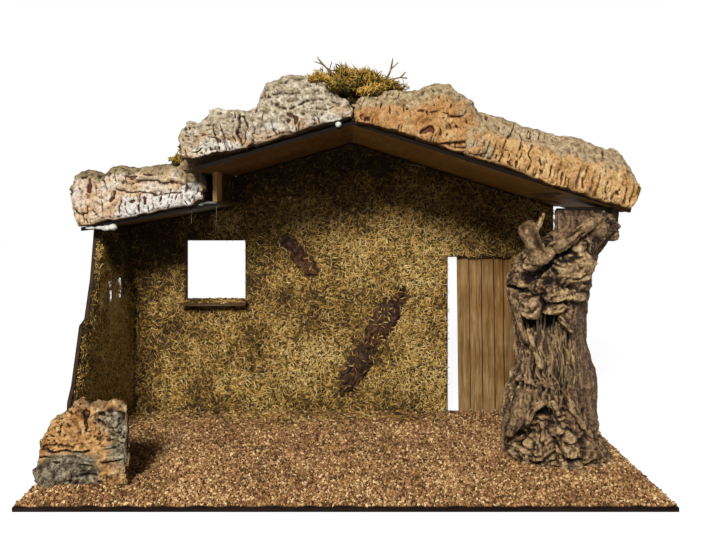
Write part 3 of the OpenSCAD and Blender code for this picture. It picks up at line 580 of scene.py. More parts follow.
# Form of a slab: its upper and lower edges are outlines in X and Z, and each section between them is a
# rounded box from front to back, lower towards the back by a crown. The front rolls back towards the top.
# Behind the front edge the underside comes down to the roof board's top, a line given by a point and its
# rise. The ends close like the sections.
def slabForm(look):
    seed, caps = look["seed"], look["closing"][-1]
    x0, x1 = look["top"][0][0], look["top"][-1][0]
    closing = np.linspace(*look["closing"])
    shrink = np.concatenate([closing, np.ones(look["rows"]), closing[::-1]])
    xs = np.concatenate([np.full(caps, x0), np.linspace(x0, x1, look["rows"]), np.full(caps, x1)])
    a, b = sectionLoop(look)
    depth, height = (a + 1) / 2, (b + 1) / 2
    x = np.repeat(xs[:, None], len(a), axis=1)
    zero = 0 * x
    deep = zero + depth * look["depth"]
    wave = rough(together(zero + x1, deep, zero + height * look["height"]), 16, 3, seed + 30)
    x = x + look["ends"] * wave * smooth(np.abs(2 * (x - x0) / (x1 - x0) - 1), 0.75, 1)
    drift = look["drift"] * lumps(together(zero, deep, zero), 45, seed)
    edge = look["ragged"] * rough(together(x, zero, zero + depth * 30), 9, 3, seed + 2)
    high = along(look["top"], x + drift * smooth(depth, 0.05, 0.5)) + 0.8 * edge + 0.2 * look["roll"]
    low = along(look["bottom"], x) + 1.3 * np.maximum(edge, -0.6)
    if "seat" in look:
        seatX, seatZ, seatRise = look["seat"]
        roof = seatZ + (x - seatX) * seatRise
        low = low - np.maximum(low - roof, 0) * smooth(depth, 0.06, 0.16)
    high = low + np.maximum(high - low, 1) * along(look["crown"], depth)
    grid = together(x, look["front"] + deep, low + (high - low) * height)
    middle = grid.mean(axis=1, keepdims=True)
    grid = middle + (grid - middle) * shrink[:, None, None]
    grid[..., 0] = x0 + (grid[..., 0] - x0) * (1 - look["taper"] * depth)
    grid[..., 1] += look["roll"] * smooth(height, 0.45, 1.1) * (1 - smooth(depth, 0, 0.3))
    return grid


# Short cracks near a slab's lower edge: each is a bell curve across a leaning line of its own length
def slabCracks(look, grid, lean):
    rng = np.random.default_rng(look["seed"])
    crack = np.zeros(grid.shape[:2])
    shaken = lean[..., 0] + 1.4 * lumps(grid, 6, look["seed"] + 17)
    for at in rng.uniform(look["top"][0][0], look["top"][-1][0], look["cracks"]):
        long, wide, sink = rng.uniform(*look["crackLong"]), rng.uniform(0.5, 1.1), rng.uniform(-0.2, 0.6)
        foot = along(look["bottom"], at) + sink * long
        away = shaken - at - look["tilt"] * foot
        up = (grid[..., 2] - foot) / long
        line = np.exp(-(away / wide) ** 2) * smooth(up, -0.2, 0.1) * (1 - smooth(up, 0.5, 1.2))
        crack = np.maximum(crack, line)
    return crack


# A slab of bark: its form, made rough along the normals by broad lumps, smaller lumps, crumbs, a ridged
# crust on top, and streaks, cracks, specks, pits and dents in front. Its marks say what is pit (dark
# lenticels, with painted shade along cracks and rib grooves), outer bark, bloom and hollow (painted shade,
# deeper on undersides).
def barkSlab(own):
    look = {**slabStart, **own}
    seed = look["seed"]
    grid = slabForm(look)
    normal = gridNormals(grid)
    onFront = smooth(-normal[..., 1], 0.3, 0.8)
    onTop = smooth(normal[..., 2], 0.2, 0.7)
    under = smooth(-normal[..., 2], 0.5, 0.9)
    rise = look["broad"] * lumps(grid, 30, seed) + look["lumps"] * rough(grid, 11, 2, seed + 1)
    rise = rise + look["crumbs"] * rough(grid, 3.8, 2, seed + 3)
    rise = rise + look["crust"] * (0.5 - np.abs(rough(grid, (17, 24, 17), 3, seed + 5))) * onTop
    lean = grid.copy()
    lean[..., 0] += look["tilt"] * grid[..., 2]
    push = wandering(grid, 3, 9, seed + 20)
    wander = grid + push
    streak = 1 - smooth(np.abs(lumps(lean + 0.5 * push, look["ribs"], seed + 9)), 0.02, 0.16)
    streak = streak * onFront * smooth(lumps(lean, (22, 60, 20), seed + 4), 0.05, 0.45)
    speck = rough(wander, look["specks"], 2, seed + 11) - look["speckFrom"]
    pit = 0.9 * smooth(speck, 0, 0.2)
    pit = pit * smooth(lumps(grid, 26, seed + 13), -0.3, 0.3) * np.maximum(onFront, 0.4 * onTop)
    torn = around(wander, look["pits"]) + 0.25 * rough(grid, 4, 2, seed + 15)
    pit = np.maximum(pit, onFront * smooth(torn, 0.4, 0.6))
    crack = slabCracks(look, grid, lean) * onFront
    rise = rise - look["ribDepth"] * streak - look["pitDepth"] * pit - look["crackDepth"] * crack
    for x, z, wideX, wideZ, deep in look["dents"]:
        away = np.sqrt(ellipse(wander, x, z, wideX, wideZ))
        rise = rise - deep * onFront * smooth(1.15 - away, 0, 0.3)
    rise = rise * (1 - 0.9 * under)
    # pit mark: the lenticels' own dark colour plus painted shade in cracks and rib grooves
    dark = 0.9 * pit + 0.6 * crack + 0.5 * streak * smooth(rough(lean, 9, 2, seed), -0.2, 0.4)
    marks = {"pit": np.clip(dark, 0, 1),
             "bark": 0.75 * np.maximum(look["barkTop"] * onTop, look["barkFront"](grid)) * (1 - under),
             "bloom": look["bloom"](grid) * onFront,
             # cavity mark: painted shade in hollows, darker still on undersides
             "cavity": np.clip(0.5 + 0.42 * (rise - blurred(rise, 4)), 0, 1) * (1 - 0.6 * under)}
    marks = {key: np.concatenate([v.ravel(), [v[0].mean(), v[-1].mean()]]) for key, v in marks.items()}
    points, faces = closeEnds(grid + normal * rise[..., None])
    return points, outward(points, faces), marks


# The five slabs on the roof, as seen from in front; pits and dents are places in X and Z with half widths
leftSlab = {"slot": "grey_cork", "finish": cork["greyCork"], "seat": (7, 360.2, 0.2905),
            "lumps": 1.8, "crumbs": 1.0}
rightSlab = {"slot": "tan_cork", "seat": (7, 360.2, -0.3153), "tilt": -0.3}
slabs = {
    "lowerCork": {
        "node": "lower_bark", "slot": "pale_cork", "finish": cork["paleCork"], "seed": 11, "rows": 200,
        "lumps": 1.5, "crumbs": 0.9, "cracks": 9, "crackLong": (4, 10), "crackDepth": 1.2,
        "front": -13, "depth": 148, "tilt": 0.19, "ribs": (6, 30, 20), "specks": (2.8, 6, 6),
        "top": [(-301, 298), (-300, 307), (-293, 311), (-282, 311), (-272, 306), (-262, 312), (-255, 317),
                (-249, 318), (-240, 314), (-228, 317), (-212, 319), (-196, 320), (-183, 323), (-172, 320),
                (-163, 311), (-159, 296)],
        "bottom": [(-301, 289), (-299, 264), (-294, 251.5), (-276, 254.6), (-238, 261.8), (-209, 267.4),
                   (-166, 275.8), (-159, 280)],
        "pits": [(-284, 303, 2, 5), (-282, 295, 3, 5), (-254, 289, 1.6, 6), (-257, 282, 2.5, 2),
                 (-234, 279, 2.6, 3), (-220, 279, 2, 4), (-204, 283, 1.4, 5), (-248, 275, 1.3, 8),
                 (-241, 275, 1.2, 3), (-226, 273, 1.4, 3), (-213, 272, 1.2, 3), (-186, 285, 1, 5),
                 (-179, 288, 1, 4), (-193, 287, 1, 4), (-236, 307, 7, 1.2), (-216, 309, 9, 1.4)],
        "dents": [(-212, 296, 42, 9, 4), (-170, 302, 7, 22, 3)],
        "barkFront": lambda g: 0.6 * beyond(g, -255, 305, 0.1, 1, 12, 21),
        "bloom": lambda g: 0.24 + 0.14 * lumps(g, 16, 5) + 0.34 * smooth(g[..., 0], -256, -236) * beyond(
            g, -240, 287, 0.2, -0.95, 10, 31)},
    "leftLowCork": {
        **leftSlab, "node": "left_bark_low", "seed": 23, "rows": 130, "cracks": 5, "roll": 10,
        "top": [(-169, 337), (-167, 350), (-163, 358), (-156, 357), (-150, 359), (-144, 366), (-132, 371),
                (-118, 371), (-105, 371), (-97, 372), (-94, 366)],
        "bottom": [(-169, 331), (-164, 322), (-157, 320.5), (-136, 326), (-110, 331), (-94, 335.5)],
        "pits": [(-134, 343, 8, 1), (-128, 341, 3, 2), (-161, 345, 3, 2), (-148, 331, 9, 1),
                 (-112, 344, 1.2, 5)],
        "dents": [(-145, 352, 20, 8, 2.5), (-104, 353, 5, 16, 5)],
        "barkFront": lambda g: 0.7 * beyond(g, -130, 341, 0.05, 1, 14, 22),
        "bloom": lambda g: 0.24 + 0.2 * lumps(g, 18, 5) + 0.3 * around(g, [(-120, 333, 22, 6)])},
    "leftHighCork": {
        **leftSlab, "node": "left_bark_high", "seed": 37, "rows": 180, "cracks": 6, "roll": 12,
        "top": [(-99, 366), (-92, 376), (-86, 390), (-81, 400), (-70, 404), (-54, 411), (-40, 410),
                (-27, 404), (-12, 392), (1, 382), (4, 373)],
        "bottom": [(-99, 335), (-90, 336), (-48, 348.5), (-20, 356), (0, 361.5), (4, 363)],
        "pits": [(-57, 366, 5, 3), (-52, 361, 2.5, 4), (-60, 361, 2.5, 2), (-47, 356, 1, 6),
                 (-86, 366, 1, 5)],
        "dents": [(-60, 382, 20, 10, 2), (-25, 378, 20, 7, 2)],
        "barkFront": lambda g: 0.75 * beyond(g, -48, 356, -0.28, 1, 14, 24),
        "bloom": lambda g: 0.28 + 0.2 * lumps(g, 18, 6) + 0.4 * around(
            g, [(-70, 396, 7, 4), (-75, 356, 16, 5)])},
    "rightHighCork": {
        **rightSlab, "node": "right_bark_high", "finish": cork["tanCork"], "seed": 41, "rows": 200,
        "cracks": 12, "crackLong": (4, 10), "roll": 12, "ribs": (9, 30, 16),
        "top": [(9, 377), (13, 383), (28, 389), (45, 393), (58, 391), (70, 391), (82, 396), (93, 400),
                (108, 400), (114, 393), (121, 387), (128, 381), (134, 374), (139, 364)],
        "bottom": [(9, 359), (35, 353.5), (61, 346), (93, 335.5), (118, 327), (130, 325), (139, 327)],
        "pits": [(15, 364, 3, 3), (22, 362, 5, 2.5), (80, 351, 8, 5), (76, 371, 4, 1.3), (90, 371, 8, 1),
                 (101, 369, 5, 1), (36, 375, 1, 4), (47, 372, 1, 4), (57, 372, 0.8, 3)],
        "dents": [(112, 336, 22, 5, 4)],
        "barkFront": lambda g: 0.7 * np.maximum(beyond(g, 62, 380, 0.1, 1, 10, 25),
                                                beyond(g, 116, 350, 1, 0.3, 26, 28)),
        "bloom": lambda g: 0.04 + 0.08 * lumps(g, 20, 7) + 0.6 * around(g, [(111, 391, 5, 5)])},
    "rightLowCork": {
        **rightSlab, "node": "right_bark_low", "finish": cork["ribbedCork"], "seed": 53, "rows": 245,
        "cracks": 60, "crackLong": (8, 26), "roll": 14, "front": -69.6, "broad": 1.6, "crust": 2.4,
        "ribs": (7, 40, 44), "ribDepth": 1.9, "specks": (3, 6, 9),
        "top": [(122, 374), (133, 374), (146, 370), (162, 365), (172, 362), (183, 357), (200, 353),
                (218, 349), (237, 345.5), (259, 338), (275, 330), (279, 333), (285, 329), (292, 317),
                (298, 298)],
        "bottom": [(122, 325), (168, 311.5), (209, 294.5), (240, 284.5), (270, 275.5), (288, 270),
                   (295, 281), (298, 291)],
        "pits": [(167, 317, 2, 3), (172, 316, 1.4, 4), (216, 303, 1.4, 7), (221, 301, 1.2, 6),
                 (226, 299, 1, 5), (240, 299, 1.2, 7), (178, 345, 1, 4), (162, 331, 3, 1), (186, 328, 1, 7),
                 (262, 290, 1, 5), (282, 287, 1, 8)],
        "barkFront": lambda g: 0.7 * np.maximum(beyond(g, 205, 327, 0.25, 1, 10, 26),
                                                beyond(g, 156, 345, -1, 0.35, 26, 28)),
        "bloom": lambda g: 0.08 + 0.12 * lumps(g, 20, 8)}}
for slabName, look in slabs.items():
    points, faces, marks = barkSlab(look)
    addPiece(slabName, points, faces, look["finish"], [look["node"]], marks=marks)
    print("bark:", slabName)

# The broken lump of cork in the front left corner: a slab that stands on the board and narrows backwards
cornerLump = {
    "seed": 61, "rows": 130, "barkTop": 0.3, "roll": 6, "cracks": 10, "boxy": 0.3, "reach": 30,
    "height": 80, "taper": 0.24, "front": -111, "depth": 52,
    "top": [(-293, 46), (-292, 56), (-289, 62), (-284, 69), (-277, 74), (-266, 78), (-262, 86), (-256, 90),
            (-248, 86), (-240, 86), (-226, 88), (-216, 90), (-209, 86), (-206, 78), (-209, 66), (-208, 52)],
    "bottom": [(-292, 8), (-288, 4.5), (-212, 4.5), (-208, 8)], "foot": 4.2,
    "crown": [(0, 0.97), (0.25, 0.95), (0.6, 0.88), (1, 0.68)], "drift": 5, "tilt": 0, "broad": 4,
    "lumps": 2.4, "crumbs": 1.1, "crust": 4, "ribs": (50, 30, 9), "ribDepth": 3.4,
    "specks": (2.6, 5, 2.8), "speckFrom": 0.36,
    "pits": [(-250, 76, 3, 5), (-249, 66, 1.6, 6), (-282, 57, 5, 0.8), (-272, 42, 17, 1.4), (-250, 43, 9, 1),
             (-246, 29, 9, 1.2), (-236, 76, 4, 3), (-276, 31, 5, 2)],
    "dents": [(-226, 72, 15, 9, 4), (-275, 45, 16, 4, 3)],
    "barkFront": lambda g: 0.8 * np.maximum(
        beyond(g, -268, 44, 0.1, -1, 10, 27) * (1 - smooth(g[..., 0], -244, -226)),
        around(g, [(-226, 72, 15, 10), (-214, 46, 14, 26)])),
    "bloom": lambda g: (0.3 * beyond(g, -258, 80, 0, 1, 8, 29)
                        + 0.5 * around(g, [(-239, 80, 3, 3), (-242, 70, 2, 2), (-211, 76, 3, 8)]))}
points, faces, marks = barkSlab(cornerLump)
points[:, 2] = np.maximum(points[:, 2], cornerLump["foot"])
addPiece("cornerCork", points, faces, cork["cornerCork"], ["corner_bark"], marks=marks)

# Two strips of dark bark pressed into the moss: thin slabs turned in the wall's plane. Their edges are
# shares of half the length and of half the width.
stripForm = {
    "rows": 110, "columns": 110, "boxy": 0.5, "front": 123.5, "depth": 8, "crown": [(0, 1), (1, 1)],
    "drift": 0, "tilt": 0, "broad": 1, "lumps": 1.4, "crumbs": 1.0, "crust": 0, "ragged": 5, "ends": 8,
    "roll": 0, "cracks": 0, "ribs": (34, 30, 3.2), "ribDepth": 1.8,
    "specks": (14, 6, 3), "speckFrom": 0.4, "pitDepth": 1.2,
    "barkFront": lambda g: 0.5 + 0.5 * lumps(g, 15, 3),
    "bloom": lambda g: np.clip(0.15 + 0.9 * lumps(g, (22, 11, 6), 4), 0, 1)}
stripEdges = {
    "top": [(-1, 0.3), (-0.8, 0.8), (-0.4, 1), (0, 0.8), (0.4, 1), (0.75, 0.8), (1, 0.35)],
    "bottom": [(-1, -0.2), (-0.85, -0.8), (-0.2, -0.85), (0.3, -1), (0.8, -0.7), (1, 0)]}
strips = {
    "smallStrip": {"node": "bark_strip_small", "seed": 71, "at": (-62, 210), "turn": -53, "length": 64,
                   "width": 21, "bare": 0.98},
    "largeStrip": {"node": "bark_strip_large", "seed": 83, "at": (35, 101), "turn": 60, "length": 152,
                   "width": 32, "bare": 0.91}}
for stripName, strip in strips.items():
    half, wide = strip["length"] / 2, strip["width"] / 2
    edges = {key: [(x * half, z * wide) for x, z in pairs] for key, pairs in stripEdges.items()}
    points, faces, marks = barkSlab({**stripForm, **edges, "seed": strip["seed"], "height": strip["width"]})
    turnedX, turnedZ = rotated(points[:, 0], points[:, 2], strip["turn"])
    points = together(strip["at"][0] + turnedX, points[:, 1], strip["at"][1] + turnedZ)
    faces = outward(points, faces)
    addPiece(stripName, points, faces, cork["stripBark"], [strip["node"]], marks=marks)
print("bark: corner lump and strips")


# Moss and strands

# Spindles along bent lines: two rings of three points between two tips. Each line runs through its root point
# along its direction, bowed to one side by a share of its length.
def strands(roots, directions, bows, length, radius):
    count = len(roots)
    side = unit(np.cross(directions, bows))
    lift = np.cross(side, directions)
    place = np.array([-0.5, -0.2, 0.2, 0.5])
    line = roots[:, None] + directions[:, None] * (place[None, :, None] * length[:, None, None])
    line = line + bows[:, None] * ((1 - 4 * place ** 2)[None, :, None] * length[:, None, None])
    angle = np.arange(3) * 2 * np.pi / 3
    ring = side[:, None] * np.cos(angle)[None, :, None] + lift[:, None] * np.sin(angle)[None, :, None]
    ring = line[:, 1:3, None] + (ring * radius[:, None, None])[:, None]
    points = np.concatenate([line[:, :1], ring.reshape(count, 6, 3), line[:, 3:]], axis=1).reshape(-1, 3)
    j = np.arange(3)
    k = (j + 1) % 3
    sides = [(0 * j, 1 + k, 1 + j), (1 + j, 1 + k, 4 + k), (1 + j, 4 + k, 4 + j), (0 * j + 7, 4 + j, 4 + k)]
    faces = np.concatenate([together(*corners) for corners in sides])
    faces = (faces[None] + 8 * np.arange(count)[:, None, None]).reshape(-1, 3)
    return points, outward(points, [faces])


# Random unit vectors around an axis: flat in the plane across it, with a share of tilt out of that plane
def flatDirections(rng, count, axis, tilt):
    axis = np.asarray(axis, float)
    vectors = rng.normal(size=(count, 3))
    vectors = unit(vectors - (vectors @ axis)[:, None] * axis)
    return unit(vectors + axis * rng.normal(size=(count, 1)) * tilt)


# One fibre material for each name with its two colours
def fibreTones(tones, patch=5):
    return [fibreMaterial(name, *colours, patch) for name, colours in tones.items()]


# Strands shared out over tones, one piece for each tone, which also finds the radii of its own strands
def tonedStrands(name, share, tones, lines, radii, stands=None):
    for k, tone in enumerate(tones):
        mine = share == k
        if mine.any():
            points, faces = strands(*[values[mine] for values in lines], radii(mine))
            addPiece(f"{name}.{k}", points, faces, tone, (stands or {}).get(k, ()))


mossTones = fibreTones({"mossDark": ("#281c0a", "#4a3615"), "mossBrown": ("#684c24", "#8f6c38"),
                        "mossOlive": ("#9a7934", "#c29c4c"), "mossGold": ("#c69a4a", "#e3b968"),
                        "mossStraw": ("#dfbd72", "#f4dc9a")})
mossGround = fibreMaterial("mossGround", "#211608", "#5e4520", 4)
moss = {"cell": 3.2, "thickness": 2.4, "least": 0.4, "length": (5, 12), "radius": (0.3, 0.52),
        "thin": (0.3, 0.5), "limits": [-0.45, -0.05, 0.3, 0.9]}


# Lines of a grid from a low to a high value, about a cell apart, with some of them at given cuts
def cutLines(low, high, cuts):
    stops = sorted({low, high, *[c for c in cuts if low < c < high]})
    counts = [max(2, int((q - p) / moss["cell"]) + 1) for p, q in zip(stops, stops[1:])]
    spans = [np.linspace(p, q, count)[:-1] for p, q, count in zip(stops, stops[1:], counts)]
    return np.concatenate(spans + [[high]])


# A mat of moss: a grid over two axes, with lines at the edges of openings, pressed up against a limit and
# bumpy; the cells in the openings are left out, and it has a thickness behind it
def mossMat(name, first, second, toPoints, limit, openings, stands):
    a = cutLines(*first, [box[k] for box in openings for k in (0, 1)])
    b = cutLines(*second, [box[k] for box in openings for k in (2, 3)])
    gridA, gridB = np.meshgrid(a, b, indexing="ij")
    faces = gridFaces(len(a), len(b))[:, ::-1]
    middle = together(gridA.ravel()[faces].mean(1), gridB.ravel()[faces].mean(1))
    keep = ~np.any([inside(middle, 0, 1, box) for box in openings], axis=0)
    gridA, gridB = [values.ravel() for values in limit(gridA, gridB)]
    p, q, r, s = together(gridA[faces], gridB[faces]).transpose(1, 0, 2)
    area = np.abs((r - p)[:, 0] * (s - q)[:, 1] - (s - q)[:, 0] * (r - p)[:, 1])
    used, faces = np.unique(faces[keep & (area > moss["least"])], return_inverse=True)
    mat = addPiece(name, toPoints(gridA, gridB)[used], [faces.reshape(-1, 4)], mossGround, stands)
    thicken(mat, moss["thickness"])


# Strands of moss: a slow noise, a bias and chance decide which is dark and which is straw
def mossStrands(name, roots, axis, rng, length, radius, tilt, bias):
    count = len(roots)
    mood = 0.75 * rough(roots, 34, 3, 5) + bias + rng.normal(size=count) * 0.6
    directions = flatDirections(rng, count, axis, tilt)
    bows = flatDirections(rng, count, axis, 0.5) * rng.uniform(0.03, 0.3, (count, 1))
    long, thick = scatter(rng, count, length, radius)
    share, lines = np.digitize(mood, moss["limits"]), (roots, directions, bows, long)
    tonedStrands(name, share, mossTones, lines, lambda mine: thick[mine])


# Swell of the moss off its wall, lumps of two sizes
def swell(points):
    return 1.4 + 1.3 * lumps(points, 17, 3) + 0.7 * lumps(points, 7, 6)


# The back wall's moss, under the roof lines in X and Z as the boards' undersides run
wall = {"x": (-283, 268.5), "z": (6, 357), "front": 130.3, "ridgeX": 7, "ridgeZ": 356, "leftRise": 0.2905,
        "rightRise": 0.3153, "stepX": -147, "lowZ": 245.8, "lowX": -293, "lowRise": 0.189, "overStrip": 122.4,
        "window": (-210.5, -131.5, 152, 231), "door": (130.5, 225.5, 0, 208.5),
        "corner": (214, 226, 201, 209), "cornerCount": 60, "count": 50000, "seed": 4, "tilt": 0.34,
        # gold places: gold moss that is partly painted light; shaded places: painted shadow under the roofs
        # and by the left wall
        "goldAndPaintedLight": [(95, 165, 45, 60), (-20, 70, 60, 45), (110, 60, 30, 45), (-110, 140, 20, 20),
                   (60, 230, 40, 26)],
        "shaded": [(-125, 300, 75, 34), (-245, 240, 40, 40), (20, 335, 130, 28)]}


# Underside of the lower roof board, a straight rise in X
def lowRoof(x):
    return wall["lowZ"] + (x - wall["lowX"]) * wall["lowRise"]


# Top of the back wall: the lower roof left of the step, and two slopes down from the ridge
def wallTop(x):
    fall = np.where(x < wall["ridgeX"], -wall["leftRise"], wall["rightRise"])
    return np.where(x < wall["stepX"], lowRoof(x), wall["ridgeZ"] - (x - wall["ridgeX"]) * fall)


# Points of the back moss at some X and Z, swollen towards the room
def backPoints(x, z):
    points = together(x, np.full(len(x), wall["front"]), z)
    points[:, 1] -= swell(points)
    return points


mossMat("backMoss", wall["x"], wall["z"], backPoints, lambda x, z: (x, np.minimum(z, wallTop(x))),
        [wall["window"], wall["door"]], ["back_moss"])
rng = np.random.default_rng(wall["seed"])
roots = backPoints(*scatter(rng, wall["count"], wall["x"], wall["z"]))
bare = inside(roots, 0, 2, wall["door"], 0.5) & ~inside(roots, 0, 2, wall["corner"])
bare |= (roots[:, 2] > wallTop(roots[:, 0]) - 2) | inside(roots, 0, 2, wall["window"], 1)
for strip in strips.values():
    length, width = strip["length"], strip["width"]
    up, across = rotated(roots[:, 0] - strip["at"][0], roots[:, 2] - strip["at"][1], -strip["turn"])
    fray = 0.9 + 0.5 * lumps(roots, 9, strip["seed"])
    over = (np.abs(up) < length * 0.5) & (np.abs(across) < width * 0.48)
    roots[over, 1] = wall["overStrip"] + 5 * (across[over] / width * 2) ** 4
    bare |= over & (np.abs(across) < width * 0.5 * fray) & (rng.uniform(size=len(roots)) < strip["bare"])
hanging = backPoints(*scatter(rng, wall["cornerCount"], wall["corner"][:2], wall["corner"][2:]))
roots = np.concatenate([roots[~bare], hanging])
roots[:, 1] -= rng.uniform(-0.2, 1.6, len(roots))
# painted light and shade in the strands' tones: lighter in the gold places, partly gold moss and partly
# painted light, and much darker in the shaded places, painted shadow of the roofs and the left wall
bias = 0.12 + 0.55 * around(roots, wall["goldAndPaintedLight"]) - 1.1 * around(roots, wall["shaded"])
mossStrands("backStrands", roots, (0, 1, 0), rng, moss["length"], moss["radius"], wall["tilt"], bias)
print("moss: back wall,", len(roots), "strands")

# The left wall's moss ends along a wavy front edge, given in Z and Y, and hangs over most of its window
sideWall = {"face": -279.6, "y": (-62, 131), "window": (43.5, 108.5, 121.5, 186.5),
            "count": 14000, "tilt": 0.6, "rim": 900, "rimOff": ((-2.5, 1.5), (-1.2, 1)),
            "edge": [(4, -62), (72, -54), (88, -44), (118, -33), (150, -23), (154, -9), (198, 7), (258, 20)],
            "slits": [(43, 57, 161, 175), (45, 54, 179, 187), (73, 99, 160, 190)]}
sideTop = lowRoof(sideWall["face"])
sideZ = (wall["z"][0], sideTop - 2)


# Points of the left moss at some Y and Z, swollen towards the room
def sidePoints(y, z):
    points = together(np.full(len(y), sideWall["face"]), y, z)
    points[:, 0] += 0.7 * swell(points)
    return points


mossMat("leftMoss", sideWall["y"], (wall["z"][0], sideTop), sidePoints,
        lambda y, z: (np.maximum(y, along(sideWall["edge"], z)), z), [sideWall["window"]], ["left_moss"])
roots = sidePoints(*scatter(rng, sideWall["count"], sideWall["y"], sideZ))
roots = roots[roots[:, 1] > along(sideWall["edge"], roots[:, 2]) + 0.5]
doubled = np.repeat(roots[inside(roots, 1, 2, sideWall["window"], -3)], 2, axis=0)
roots = np.concatenate([roots, doubled + rng.normal(size=doubled.shape)])
roots = roots[~np.any([inside(roots, 1, 2, box) for box in sideWall["slits"]], axis=0)]
roots[:, 0] += rng.uniform(-0.2, 1.4, len(roots))
# painted shade: strands darker towards the top and back, where the roof's shadow falls, and along the wall's
# front edge
shade = smooth(roots[:, 2] + 0.6 * roots[:, 1], 222, 252)
shade = np.maximum(shade, 0.7 - 0.7 * smooth(roots[:, 1] - along(sideWall["edge"], roots[:, 2]), 4, 12))
bias = 0.5 - 1.4 * shade
mossStrands("leftStrands", roots, (1, 0, 0), rng, moss["length"], moss["radius"], sideWall["tilt"], bias)
# rim strands at the front edge get dark tones: painted shade
rimZ = rng.uniform(*sideZ, sideWall["rim"])
rimX, rimY = scatter(rng, sideWall["rim"], *sideWall["rimOff"])
rim = together(sideWall["face"] + rimX, along(sideWall["edge"], rimZ) + rimY, rimZ)
mossStrands("rimStrands", rim, (0, 1, 0), rng, (4, 9), moss["radius"], tilt=0.25, bias=-1)

# Moss in the open side of the roof's step, behind the post, with a few holes in it
stepWall = {"face": -145.5, "y": (33, 135), "z": (278.5, 313), "count": 900,
            "strandsY": (41, 131), "strandsZ": (280.5, 311), "sides": [-2.8, 0.8],
            "holes": [(36, 39, 301, 305), (40, 43, 282, 286)]}


# Points of the step's moss at some Y and Z, bumpy on both sides
def stepPoints(y, z):
    points = together(np.full(len(y), stepWall["face"]), y, z)
    points[:, 0] += 0.7 * rough(points, 12, 3, 8)
    return points


mossMat("stepMoss", stepWall["y"], stepWall["z"], stepPoints, lambda y, z: (y, z),
        stepWall["holes"], ["step_moss"])
roots = stepPoints(*scatter(rng, stepWall["count"], stepWall["strandsY"], stepWall["strandsZ"]))
roots[:, 0] += rng.choice(stepWall["sides"], stepWall["count"])
# the step's strands get dark tones: painted shade behind the post under the roof
mossStrands("stepStrands", roots, (1, 0, 0), rng, (5, 10), moss["thin"], tilt=0.12, bias=-1.2)

# Moss crumbs on the sill, and strands that have fallen on the floor along the walls
sill = {"x": (-212, -130), "y": (112, 133), "backY": 134, "z": 152.6,
        "rise": 0.12, "above": (0.4, 2.0), "count": 900}
sillX, sillY = scatter(rng, sill["count"], sill["x"], sill["y"])
sillZ = sill["z"] - (sill["backY"] - sillY) * sill["rise"] + rng.uniform(*sill["above"], sill["count"])
roots = together(sillX, sillY, sillZ)
mossStrands("sillStrands", roots, (0, 0, 1), rng, (4, 9), moss["thin"], tilt=0.25, bias=0.0)
fallen = {"x": (-274, 128), "backY": 129, "z": (7.2, 9), "spread": 26, "count": 1500}
fallenX = rng.uniform(*fallen["x"], fallen["count"])
fallenY = fallen["backY"] - np.abs(rng.normal(size=fallen["count"])) * fallen["spread"]
roots = together(fallenX, fallenY, rng.uniform(*fallen["z"], fallen["count"]))
mossStrands("fallenStrands", roots, (0, 0, 1), rng, (4, 10), moss["thin"], tilt=0.15, bias=0.0)
print("moss: left wall, step, sill and floor")

# Tufts: strands that stand out from an egg shape with a ragged edge, in greens and golds. Each has its place,
# half sizes, count, lengths, seed, lift and brightness.
greenTones = fibreTones({"tuftDark": ("#2a210e", "#453616"), "tuftGreen": ("#4f4519", "#6e5f24"),
                         "tuftOlive": ("#7c6a22", "#9a7f2e"), "tuftGold": ("#ad7e2c", "#cf9c40"),
                         "tuftStraw": ("#b59248", "#d6b468")})
tuftLook = {"radius": (0.4, 0.75), "limits": [-0.5, -0.05, 0.4, 0.85], "bow": (0.04, 0.24)}
tufts = {
    "ridgeTuft": ((20, -22, 405), (50, 30, 23), 4200, (6, 19), 9, 0.35, 0.12),
    "ridgeTuftBack": ((8, 20, 400), (34, 26, 14), 1500, (5, 13), 10, 0.3, 0),
    "ridgeTuftLeft": ((-27, -58, 405), (13, 12, 8), 600, (5, 12), 14, 0.1, 0.05),
    "ridgeTuftLow": ((-9, -60, 396), (13, 11, 8), 600, (5, 12), 16, 0.05, -0.05),
    "ridgeTuftRight": ((27, -58, 392), (15, 11, 8), 600, (5, 13), 15, 0.1, 0.2),
    # ridgeSeam: dark strands that fill the gap between the two high slabs, painted shade
    "ridgeSeam": ((6.5, -30, 379), (5, 30, 16), 1100, (4, 9), 13, 0.1, -1.2),
    "stepTuft": ((-182, -2, 325), (14, 14, 8), 900, (4, 11), 12, 0.3, -0.1)}
for tuftName, (at, size, count, length, seed, lift, bright) in tufts.items():
    rng = np.random.default_rng(seed)
    out = rng.normal(size=(count, 3))
    out[:, 2] = np.abs(out[:, 2]) * 0.8 - 0.3
    out = unit(out)
    reach = (0.68 + 0.62 * rough(out * 20, 11, 2, seed)) * rng.uniform(0.3, 1.0, count) ** 0.5
    roots = np.array(at) + out * np.array(size) * reach[:, None]
    directions = out * 0.6 + rng.normal(size=out.shape) * 0.8
    directions[:, 2] += lift
    bows = unit(rng.normal(size=out.shape)) * rng.uniform(*tuftLook["bow"], (count, 1))
    mood = 0.8 * lumps(roots, 15, 3) + 0.35 * out[:, 2] + rng.normal(size=count) * 0.45 + bright
    share = np.digitize(mood, tuftLook["limits"])
    lines = (roots, unit(directions), bows, rng.uniform(*length, count))
    stands = {2: ["ridge_moss"]} if tuftName == "ridgeTuft" else {}
    tonedStrands(tuftName, share, greenTones, lines,
                 lambda mine: rng.uniform(*tuftLook["radius"], mine.sum()), stands)
print("moss: tufts")


# Floor

